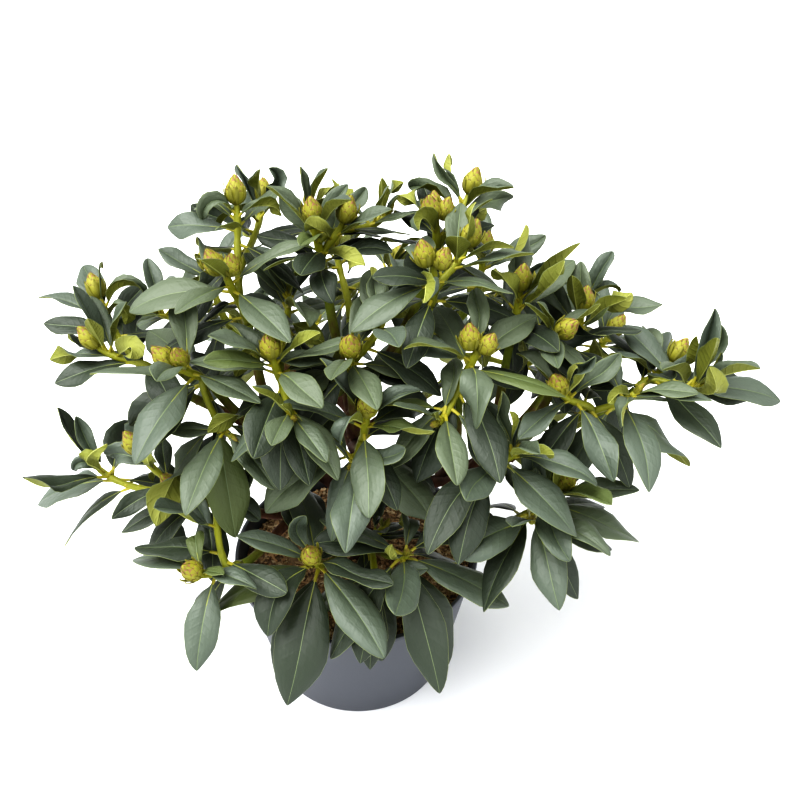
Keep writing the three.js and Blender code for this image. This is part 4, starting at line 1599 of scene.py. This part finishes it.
    def settled(self, others: Sequence[BVHTree]) -> "Foliage":
        """Calms and then shortens the leaves whose blades touch, and leaves out what still does.

        Args:
            others: search trees of what blades must not touch.

        Returns:
            The foliage that is left. Leaves that had to give way have less vigour.
        """
        leaves = self.leaves
        for calm, size in CALMING:
            touched = self.touching(others, both=True)
            leaves.vigour[touched] *= calm
            leaves.length[touched] *= size
            leaves.width[touched] *= size
        return self.part(~self.touching(others, both=False))

    def slot_grid(self) -> Array:
        """The slot of every quad. Tones are dealt out leaf by leaf, darker low and lighter high,
        as painted shade and painted light; older leaves take the deep tone as painted shade.

        Returns:
            The slots, (n, rows - 1, ring).
        """
        tall = self.leaves.root[:, 2]
        # Painted light high up and painted shade low down, as a shift of each leaf's tone.
        bright = self.light * smooth(*self.light_heights, tall)
        bright = bright - self.dark * (1 - smooth(*self.dark_heights, tall))
        tone = 0.5 + 0.5 * self.wander(Trait.TOP_TONE) + bright
        top = np.digitize(tone, self.tone_bounds)
        top[self.wander(Trait.FRESHNESS) > self.fresh_above] = len(TOPS) - 1
        # Painted shade: older leaves, which sit below the whorl inside the crown, take the deep tone.
        top[self.leaves.old] = 0
        pale = self.wander(Trait.UNDER_TONE) > self.pale_above
        under = len(TOPS) + pale.astype(int)
        slot, start = self.slots.index, np.array(self.stations[:-1])
        grid = np.full((len(top), len(start), RING), slot(MARGIN))
        grid[:, :, HALVES] = top[:, None, None]
        grid[:, :, HALVES + TOP_END] = under[:, None, None]
        foot = (start < self.yellow_foot)[None, :, None]
        grid[:, :, RIBS] = np.where(foot, slot(RIB_FOOT), slot(RIB_TOP))
        grid[:, :, RIBS + TOP_END] = slot(RIB_UNDER)
        grid[:, start < PETIOLE] = slot(STALK)
        return grid


@dataclass(frozen=True)
class Buds:
    """Flower buds: an egg-shaped core under overlapping pointed scales, dealt out in a spiral.

    A few narrow bracts stand off round the foot. Lengths along a bud are shares of its height.
    """

    rule: BudRule = BudRule()
    drawn: float = 0.3  # how much the egg is drawn in at its very top
    core: float = 0.95  # its radius beside the egg's
    core_end: float = 0.12  # radians between its first ring and its end
    core_rows: int = 10
    core_ring: int = 14
    scales: int = 26
    last: float = 0.56  # height of the highest scale's foot
    tall: float = 0.5  # a scale's length
    broad: float = 44.0  # its half width in degrees
    narrower: float = 0.2  # share of that which the highest scale lacks
    thick: float = 0.3  # half its thickness, in mm
    keel: float = 0.4  # how far its middle stands out, in mm
    highest: float = 0.985  # up to here its points keep to the egg
    rows: tuple[float, ...] = (0.02, 0.2, 0.4, 0.6, 0.78, 0.92, 0.99)  # along it
    ring: tuple[float, ...] = (-1, -0.84, 0, 0.84, 1, 0.84, 0, -0.84)  # across it and back
    under: int = 5  # the first place of that ring on its underside
    bracts: int = 7
    bract_tall: Pair = (0.5, 0.8)
    bract_broad: float = 13.0
    bract_off: Pair = (1.5, 3.5)  # the least that its point stands off, and more
    slots = (SCALE, SCALE_EDGE, SCALE_TIP, BRACT)

    def radius(self, y: Array) -> Array:
        """The bud's radius: a sphere's, less the more y rises, and drawn to a point at the top.

        Args:
            y: shares of the bud's height.

        Returns:
            The radii in mm.
        """
        c = np.clip(2 * y - 1, -1, 1)
        egg = np.sqrt(1 - c**2) * (1 - self.rule.taper * c)
        return self.rule.radius * egg * (1 - self.drawn * smooth(0.5, 1.0, y))

    def turned(self, r: Array, angle: Array, y: Array) -> Array:
        """Points at radii, angles and shares of the bud's height."""
        tall = (self.rule.length + self.rule.sunk) * y
        return np.stack(np.broadcast_arrays(r * np.cos(angle), r * np.sin(angle), tall), axis=-1)

    def egg(self) -> Array:
        """The core, a little within the scales: rings at even angles from one end to the other.

        Returns:
            Its points, (rows, ring, 3).
        """
        turns = np.linspace(self.core_end, np.pi - self.core_end, self.core_rows)
        y = 0.5 - 0.5 * np.cos(turns)[:, None]
        angle = 2 * np.pi * np.arange(self.core_ring) / self.core_ring
        return self.turned(self.radius(y) * self.core, angle, y)

    def scale_grid(self) -> Array:
        """Scales and then bracts: closed lenses that lie on the egg.

        Along a scale u runs from 0 at its foot to 1 at its point, where it stands off the most,
        over the feet of the scales above it. Across it v runs from -1 to 1 and back underneath.
        Its width goes with the root of 1 - u**2.2, times 0.8 + 0.2 u.

        Returns:
            Their points, (n, rows, ring, 3).
        """
        i = np.arange(self.scales + self.bracts)[:, None, None]
        bract = i >= self.scales
        share = np.where(bract, 0.0, i / (self.scales - 1))
        u = np.array(self.rows)[None, :, None]
        v = np.array(self.ring)[None, None, :]
        own = np.where(bract, mix(*self.bract_tall, (i * 0.618) % 1), self.tall)
        y = self.last * share + own * u * (1 - 0.1 * v**2)
        width = np.sqrt(1 - u**2.2) * (0.8 + 0.2 * u)
        broad = np.where(bract, self.bract_broad, self.broad * (1 - self.narrower * share))
        spread = np.radians(broad) * width
        below = np.arange(len(self.ring)) >= self.under
        thick = np.where(below, -self.thick, self.thick) * (np.abs(v) < 0.99)
        keel = self.keel * (1 - np.abs(v)) * np.sin(np.pi * u)
        off = 0.1 + 0.6 * u + 0.15 * u**6 + keel + thick
        least, more = self.bract_off
        stand = np.where(bract, (least + more * ((i * 0.37) % 1)) * u**2, 0.0)
        r = self.radius(np.minimum(y, self.highest)) + off * (0.4 + 0.6 * (1 - share)) + stand
        return self.turned(r, np.radians(GOLDEN_ANGLE) * i + spread * v, y)

    def scale_slots(self) -> Array:
        """The slots of the scales' quads: brown edges, and dry points from a third of the way up.

        Returns:
            The slots, (n, rows - 1, ring).
        """
        n, slot = self.scales + self.bracts, self.slots.index
        slots = np.full((n, len(self.rows) - 1, len(self.ring)), slot(SCALE))
        slots[:, :, [0, 3]] = slot(SCALE_EDGE)
        slots[:, -1:] = slot(SCALE_EDGE)
        slots[self.scales // 3 :, -1:] = slot(SCALE_TIP)
        slots[self.scales * 2 // 3 :, -2:] = slot(SCALE_TIP)
        slots[self.scales :] = slot(BRACT)
        return slots

    def build(self, spots: Iterable[BudSpot], name: str) -> bpy.types.Object:
        """Makes all the buds as one piece, each a turned and scaled copy of the one bud.

        Args:
            spots: where they stand.
            name: the piece's name.

        Returns:
            The piece.
        """
        core, scales, slots = self.egg()[None], self.scale_grid(), self.scale_slots()
        ends = np.stack([scales[:, 0].mean(axis=1), scales[:, -1].mean(axis=1)], axis=1)
        skins = Skins()
        for number, spot in enumerate(spots):
            side, lift = square(spot.along)
            turn = np.radians(GOLDEN_ANGLE * number)
            first = side * math.cos(turn) + lift * math.sin(turn)
            axes = np.stack([first * spot.slim, np.cross(spot.along, first) * spot.slim, spot.along])
            skins.add(spot.foot + spot.size * core @ axes)
            placed, tips = (spot.foot + spot.size * points @ axes for points in (scales, ends))
            skins.add(placed, tips, slots)
        return skins.piece(name, self.slots)


@dataclass(frozen=True)
class Stems:
    """The green shoots: round stems with a swelling where each leaf springs."""

    sides: int = 12
    step: float = 3.5
    swelling: float = 0.8
    swelling_reach: float = 2.6  # along the stem
    slim: float = 0.84  # beside the plain tubes
    foot_age: float = 0.35

    def build(self, masses: Sequence[Mass], name: str) -> bpy.types.Object:
        """Makes all the shoots as one piece, whose age grows towards 1 at their tips.

        A stem's radius falls evenly and swells in a bell curve at each leaf. Low waves round
        and along the stem keep it from being a true cone.

        Args:
            masses: the masses with their shoots and leaves.
            name: the piece's name.

        Returns:
            The piece.
        """
        skins = Skins()
        angle = 2 * np.pi * np.arange(self.sides) / self.sides
        for mass in masses:
            roots = np.concatenate([leaf.root for leaf in mass.leaves])
            for stem in mass.stems:
                t = np.linspace(0, 1, math.ceil(stem.length() / self.step) + 1)
                away = np.linalg.norm(stem.point(t)[:, None] - roots[None], axis=-1).min(axis=1)
                swell = self.swelling * np.exp(-((away / self.swelling_reach) ** 2))
                radii = self.slim * mix(*stem.radius, t) + swell
                rough = 1 + 0.03 * np.sin(3 * angle + 9 * t[:, None]) + 0.02 * np.sin(17 * t[:, None])
                grid = stem.rings(t, self.sides, radii[:, None] * rough)
                age = np.stack([mix(self.foot_age, 1, t), t], axis=-1)[None, :, None]
                skins.add(grid[None], marks=age)
        return skins.piece(name, (SHOOT_SKIN,), mark_age=True)


@dataclass(frozen=True)
class WoodyFrame:
    """Trunk and boughs: bark in low ridges, a root flare, and a collar where a bough leaves."""

    sides: int = 20
    step: float = 4.0
    flare: float = 9.0
    flare_height: float = 16.0
    collar: float = 2.2
    collar_reach: float = 9.0
    ridge: float = 0.045  # of the radius
    ridge_turn: float = 23.0  # along the limb, for a wind of one radian
    slim: float = 0.84  # a bough's tip beside its plain tube
    slim_from: float = 40.0  # its foot keeps the full radius and slims down to here
    trunk_age: Pair = (0.0, 0.05)
    tip_age: Pair = (0.62, 0.8)  # of boughs from the trunk, and of the others

    def ages(self) -> dict[str, Pair]:
        """How young the wood is, from 0 on the oldest to 1, growing outwards from the trunk.

        Returns:
            The ages of each limb's two ends by its name.
        """
        ages = {"trunk": self.trunk_age}
        for row in CROWN:
            tip = self.tip_age[0] if row.parent == "trunk" else self.tip_age[1]
            ages[row.name] = (mix(*ages[row.parent], row.at**2), tip)
        return ages

    def build(self, growth: Growth, name: str) -> bpy.types.Object:
        """Makes trunk and boughs as one piece.

        A limb's radius falls evenly. The flare and the collars die away exponentially from
        their foot, the flare in five lobes. The relief is a sum of sine waves of 3, 7 and 11
        ridges that wind along the limb, and it is lower on young wood.

        Args:
            growth: the limbs.
            name: the piece's name.

        Returns:
            The piece.
        """
        skins, ages = Skins(), self.ages()
        angle = 2 * np.pi * np.arange(self.sides) / self.sides
        for number, (limb_name, limb) in enumerate(growth.limbs.items()):
            length = limb.length()
            t = np.linspace(0, 1, math.ceil(length / self.step) + 1)
            far = (t * length)[:, None]
            base = mix(*limb.radius, t)[:, None]
            if limb_name == "trunk":
                fade = np.exp(-far / self.flare_height)
                base = base + self.flare * fade * (0.7 + 0.3 * np.cos(5 * angle))
            else:
                base = base * mix(1, self.slim, smooth(0, self.slim_from, far))
                base = base + self.collar * np.exp(-far / self.collar_reach)
            wind = far / self.ridge_turn + number
            relief = (np.sin(3 * angle + wind) + 0.6 * np.sin(7 * angle - 1.7 * wind)
                      + 0.5 * np.sin(11 * angle + 4.1 * wind + 2 * np.sin(far / 7)))
            fresh = mix(*ages[limb_name], t**2)
            radii = base * (1 + self.ridge * relief * (1 - 0.6 * fresh[:, None]))
            marks = np.stack([fresh, t], axis=-1)[None, :, None]
            skins.add(limb.rings(t, self.sides, radii)[None], marks=marks)
        return skins.piece(name, (BARK,), mark_age=True)


@dataclass(frozen=True)
class Pot:
    """A round tapered nursery container with a thickened rim."""

    height: float = 170.0
    base: float = 105.0
    rim: float = 140.0
    wall: float = 2.5
    floor: float = 3.0
    band: float = 7.0  # height of the thickened rim
    proud: float = 2.0  # how far it stands out
    middle: float = 8.0  # radius of the innermost rings
    recess: float = 2.2  # height of the underside's middle above its foot ring
    foot: Triple = (13.0, 11.0, 9.0)  # its steps, in from the base's edge
    foot_chamfer: float = 0.2
    foot_round: float = 2.2
    band_round: float = 1.0  # where the wall meets the band
    rim_rounds: Triple = (1.2, 1.6, 1.2)  # below, above and inside
    wall_ends: Pair = (12.0, 4.0)  # above the underside and below the band
    wall_rings: int = 12
    inner_rings: Pair = (150.0, 100.0)  # heights inside
    sides: int = 128
    arc_points: int = 5
    crease: float = 35.0  # degrees
    shell_middle: float = 50.0
    shell_sides: int = 32

    def outer(self, z: float) -> float:
        """The wall's outer radius at height z."""
        return mix(self.base, self.rim - self.proud, z / self.height)

    def arc(self, r: float, z: float, radius: float, start: float, end: float) -> list[Pair]:
        """Points of a rounded edge: cosine outwards and sine upwards.

        Args:
            r: the distance of its centre from Z.
            z: the height of its centre.
            radius: the edge's radius.
            start: the angle of its first point, in degrees.
            end: the angle of its last point.

        Returns:
            The points.
        """
        turns = np.radians(np.linspace(start, end, self.arc_points))
        return [(r + radius * math.cos(a), z + radius * math.sin(a)) for a in turns]

    def profile(self) -> list[Pair]:
        """The container's profile.

        Returns:
            Distances from Z with heights, from the underside's middle out and up the wall, over
            the rim and down inside.
        """
        under, top = self.height - self.band, self.height
        inner = self.outer(top) - self.wall
        (high, slope, low), foot, nook = self.foot, self.foot_round, self.band_round
        (below, above, inside), (first, last) = self.rim_rounds, self.wall_ends
        return [
            (self.middle, self.recess), (self.base - high, self.recess),
            (self.base - slope, self.foot_chamfer), (self.base - low, 0.0),
            *self.arc(self.outer(0) - foot, foot, foot, -90, -10),
            *((self.outer(z), z) for z in np.linspace(first, under - last, self.wall_rings)),
            *self.arc(self.outer(under) + nook, under - nook, nook, 180, 90),
            *self.arc(self.rim - below, under + below, below, -90, 0),
            *self.arc(self.rim - above, top - above, above, 0, 90),
            *self.arc(inner + inside, top - inside, inside, 90, 180),
            *((self.outer(z) - self.wall, z) for z in (*self.inner_rings, self.floor)),
            (self.middle, self.floor),
        ]

    def turned(self, profile: Sequence[Pair], sides: int) -> Array:
        """A profile turned about Z: its distance times cosine and sine, and its height.

        Args:
            profile: distances from Z with heights.
            sides: how many points a ring has.

        Returns:
            The rings, (rows, sides, 3).
        """
        r, z = np.array(profile).T[:, :, None]
        angle = 2 * np.pi * np.arange(sides) / sides
        return np.stack([r * np.cos(angle), r * np.sin(angle), z + 0 * angle], axis=-1)

    def shell(self) -> Shell:
        """Gives the container as a coarse shell.

        Returns:
            The shell, which leaves keep clear of.
        """
        under, top, floor = self.height - self.band, self.height, self.floor
        corners = [
            (self.shell_middle, 0), (self.base, 0), (self.outer(under), under), (self.rim, under),
            (self.rim, top), (self.outer(top) - self.wall, top),
            (self.outer(floor) - self.wall, floor), (self.shell_middle, floor),
        ]
        return Shell(self.turned(corners, self.shell_sides))

    def build(self, name: str) -> bpy.types.Object:
        """Makes the container.

        Args:
            name: the piece's name.

        Returns:
            The piece.
        """
        skins = Skins()
        skins.add(self.turned(self.profile(), self.sides)[None])
        return skins.piece(name, (POT_PLASTIC,), crease=self.crease)


@dataclass(frozen=True)
class Mulch:
    """Peat under a loose layer of bark chips, just below the rim."""

    pot: Pot
    top: float = 149.0
    clear: float = 0.4  # between the bed and the wall
    edge: float = 147.0  # height at which the top's outermost radius is taken
    bottom: float = 4.0
    waist: float = 100.0
    shell_top: float = 150.0
    shell_middle: float = 30.0
    slow: float = 1.6  # height of the long waves
    fine: float = 0.9
    heap: Pair = (3.0, 32.0)  # its height and reach, about the trunk's foot
    heap_at: Pair = (4.0, 8.0)
    sag: Triple = (2.5, 110.0, 136.0)  # how deep, from and up to which radius
    rings: int = 56
    sides: int = 144
    chips: int = 6400
    seed: int = 11
    chip_length: Pair = (2.2, 1.6)  # a gamma distribution's shape and scale
    chip_bounds: Pair = (1.8, 22.0)
    chip_width: Pair = (1.0, 4.0)
    chip_thickness: Pair = (0.7, 2.0)
    chip_jag: Pair = (0.55, 1.0)  # a corner's distance from the chip's middle line
    chip_rows: Triple = (-0.5, 0.1, 0.5)  # along a chip
    chip_lift: Pair = (-0.3, 2.6)  # its middle above the bed
    chip_tilt: Pair = (0.2, 0.3)  # usual pitch and roll in radians
    chip_tones: tuple[float, ...] = (0.36, 0.3, 0.14, 0.2)  # share of each
    crease: float = 30.0  # degrees

    def inner(self, z: float) -> float:
        """The bed's radius at height z, clear of the wall."""
        return self.pot.outer(z) - self.pot.wall - self.clear

    def level(self, x: Array, y: Array) -> Array:
        """The bed's height: a product of two long sine waves, one of two short ones, and a heap.

        The short waves wander, as a sine of the other direction shifts each. The heap is a bell
        curve about the trunk.

        Args:
            x: where, to the right.
            y: where, to the back.

        Returns:
            The heights.
        """
        slow = np.sin(x / 31 + 1.2) * np.cos(y / 27 - 0.4)
        fine = np.sin(x / 5.1 + 2 * np.sin(y / 7.3)) * np.sin(y / 4.7 + 1.4 * np.sin(x / 6.1))
        (high, reach), (middle_x, middle_y) = self.heap, self.heap_at
        heap = high * np.exp(-((x - middle_x) ** 2 + (y - middle_y) ** 2) / reach**2)
        return self.top + self.slow * slow + self.fine * fine + heap

    def shell(self) -> Shell:
        """Gives the bed as a coarse shell.

        Returns:
            The shell, which leaves keep clear of.
        """
        top = self.shell_top
        corners = [(self.inner(self.waist), self.waist), (self.inner(self.edge), top),
                   (self.shell_middle, top)]
        return Shell(self.pot.turned(corners, self.pot.shell_sides))

    def build_bed(self, name: str) -> bpy.types.Object:
        """Makes the bed: rings that run in from the wall over an uneven top.

        Args:
            name: the piece's name.

        Returns:
            The piece.
        """
        side = [(self.inner(z), z) for z in (self.bottom, self.waist)]
        out = np.linspace(self.inner(self.edge), 2, self.rings)
        grid = self.pot.turned([*side, *((r, self.edge) for r in out)], self.sides)
        x, y = grid[len(side) :, :, 0], grid[len(side) :, :, 1]
        depth, start, end = self.sag
        grid[len(side) :, :, 2] = self.level(x, y) - depth * smooth(start, end, np.hypot(x, y))
        skins = Skins()
        skins.add(grid[None])
        return skins.piece(name, MULCH_TONES[:1])

    def build_chips(self, name: str) -> bpy.types.Object:
        """Makes the chips: thin wedges strewn evenly over the bed, lying nearly flat.

        Args:
            name: the piece's name.

        Returns:
            The piece.
        """
        dice = np.random.default_rng(self.seed)
        n = self.chips
        size = np.stack([
            dice.gamma(*self.chip_length, n).clip(*self.chip_bounds),
            dice.uniform(*self.chip_width, n),
            dice.uniform(*self.chip_thickness, n),
        ], axis=-1)
        reach = np.sqrt(dice.uniform(0, 1, n)) * (self.inner(self.shell_top) - 1 - size[:, 0] / 2)
        round_it = dice.uniform(0, 2 * np.pi, n)
        x, y = reach * np.cos(round_it), reach * np.sin(round_it)
        centre = np.stack([x, y, self.level(x, y) + dice.uniform(*self.chip_lift, n)], axis=-1)
        yaw = dice.uniform(0, 2 * np.pi, n)
        pitch, roll = (dice.normal(0, tilt, n) for tilt in self.chip_tilt)
        along = np.stack([np.cos(yaw) * np.cos(pitch), np.sin(yaw) * np.cos(pitch), np.sin(pitch)], -1)
        side = unit(np.cross(UP, along))
        lift = np.cross(along, side)
        side, lift = (side * np.cos(roll)[:, None] + lift * np.sin(roll)[:, None],
                      lift * np.cos(roll)[:, None] - side * np.sin(roll)[:, None])
        corners = np.array([[-1, -1], [1, -1], [1, 1], [-1, 1]]) / 2
        rows = np.array(self.chip_rows)
        jag = dice.uniform(*self.chip_jag, (n, len(rows), *corners.shape))
        local = corners * jag * size[:, None, None, 1:]
        grid = (centre[:, None, None] + (rows * size[:, :1])[:, :, None, None] * along[:, None, None]
                + local[..., :1] * side[:, None, None] + local[..., 1:] * lift[:, None, None])
        slots = dice.choice(len(self.chip_tones), n, p=self.chip_tones)[:, None, None]
        skins = Skins()
        skins.add(grid, slots=slots)
        return skins.piece(name, MULCH_TONES[1:], crease=self.crease)


# ---------------- studio


@dataclass(frozen=True)
class Lamp:
    """A far soft lamp; its azimuth, elevation and apparent width are in degrees."""

    name: str
    azimuth: float
    elevation: float
    power: float
    width: float = 60.0

    def build(self) -> None:
        """Makes the lamp."""
        light = bpy.data.lights.new(self.name, "SUN")
        light.angle, light.energy = math.radians(self.width), self.power
        lamp = bpy.data.objects.new(self.name, light)
        turn = (math.radians(90 - self.elevation), 0, math.radians(self.azimuth + 90))
        lamp.rotation_euler = turn
        bpy.context.scene.collection.objects.link(lamp)


@dataclass(frozen=True)
class Studio:
    """A pale floor in white surroundings, two large soft lamps far away and the camera."""

    eye: Triple = (0.050, -0.770, 0.974)
    tilt: float = 52.5  # degrees from straight down
    lens: float = 42.75
    sensor: float = 36.0
    sight: float = 50.0  # metres that the camera sees
    floor_size: float = 16.0
    floor_glow: float = 0.05
    sky: float = 0.55
    white: str = "#fbfcff"
    transform: str = "Standard"
    contrast: str = "Very High Contrast"
    exposure: float = 0.2
    lamps: tuple[Lamp, ...] = (
        Lamp("overhead_softbox", 200, 64, 3.6),
        Lamp("side_softbox", -35, 40, 0.7),
    )

    def build(self) -> None:
        """Makes floor, lamps, surroundings and camera."""
        scene = bpy.context.scene
        scene.view_settings.view_transform = self.transform
        scene.view_settings.look = self.contrast
        scene.view_settings.exposure = self.exposure
        self.floor()
        for lamp in self.lamps:
            lamp.build()
        world = bpy.data.worlds.new("white_surroundings")
        world.use_nodes = True
        backdrop = world.node_tree.nodes["Background"]
        backdrop.inputs["Color"].default_value = linear(self.white)
        backdrop.inputs["Strength"].default_value = self.sky
        scene.world = world
        camera = bpy.data.cameras.new("camera")
        camera.lens, camera.sensor_width = self.lens, self.sensor
        camera.clip_end = self.sight
        holder = bpy.data.objects.new("camera", camera)
        holder.location = self.eye
        holder.rotation_euler = (math.radians(self.tilt), 0, 0)
        scene.collection.objects.link(holder)
        scene.camera = holder

    def floor(self) -> None:
        """Makes the floor, a sheet of white background paper that glows a little."""
        paper = Finish("background_paper", "#dddee0", 0.9, grain=3.0, depth=0.01).build()
        shader = paper.node_tree.nodes["Principled BSDF"]
        shader.inputs["Emission Color"].default_value = linear(self.white)
        shader.inputs["Emission Strength"].default_value = self.floor_glow
        half = self.floor_size / 2
        mesh = bpy.data.meshes.new("floor")
        corners = [(-half, -half, 0), (half, -half, 0), (half, half, 0), (-half, half, 0)]
        mesh.from_pydata(corners, [], [(0, 1, 2, 3)])
        mesh.materials.append(paper)
        sheet = bpy.data.objects.new("floor", mesh)
        bpy.context.scene.collection.objects.link(sheet)


# ---------------- the whole plant

LEAF_PIECES = 3  # leaves are dealt out in turn, as one piece would have too many faces


def main() -> None:
    """Builds the plant part by part, each in place of the solids that it stands for."""
    logging.basicConfig(level=logging.INFO, format="%(name)s: %(message)s")
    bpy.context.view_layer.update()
    for finish in (*Foliage.slots, SHOOT_SKIN, BARK, *Buds.slots, POT_PLASTIC, *MULCH_TONES):
        finish.build()

    pot = Pot()
    mulch = Mulch(pot)
    container = pot.build("container")
    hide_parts("pot")
    for piece in (mulch.build_bed("mulch_bed"), mulch.build_chips("chips")):
        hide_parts("soil")

    growth = Growth(CROWN, [pot.shell(), mulch.shell()])
    wood = WoodyFrame().build(growth, "trunk_and_boughs")
    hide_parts("trunk", *(f"bough_{row.name}" for row in CROWN))

    foliage = Foliage(growth.all_leaves()).settled(growth.obstacles())
    count = len(foliage.leaves.length)
    log.info("%d leaves", count)
    turn = np.arange(count) % LEAF_PIECES
    pieces = [foliage.part(turn == k).build(f"leaves_{k + 1}") for k in range(LEAF_PIECES)]
    pieces.append(Stems().build(growth.masses, "green_shoots"))
    for name, slim in (("flower_buds", False), ("leaf_buds", True)):
        spots = [spot for mass in growth.masses for spot in mass.buds if (spot.slim < 1) == slim]
        pieces.append(Buds().build(spots, name))
    for piece in pieces:
        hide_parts(*(f"mass_{row.name}" for row in CROWN))

    Studio().build()


if __name__ == "__main__":
    main()
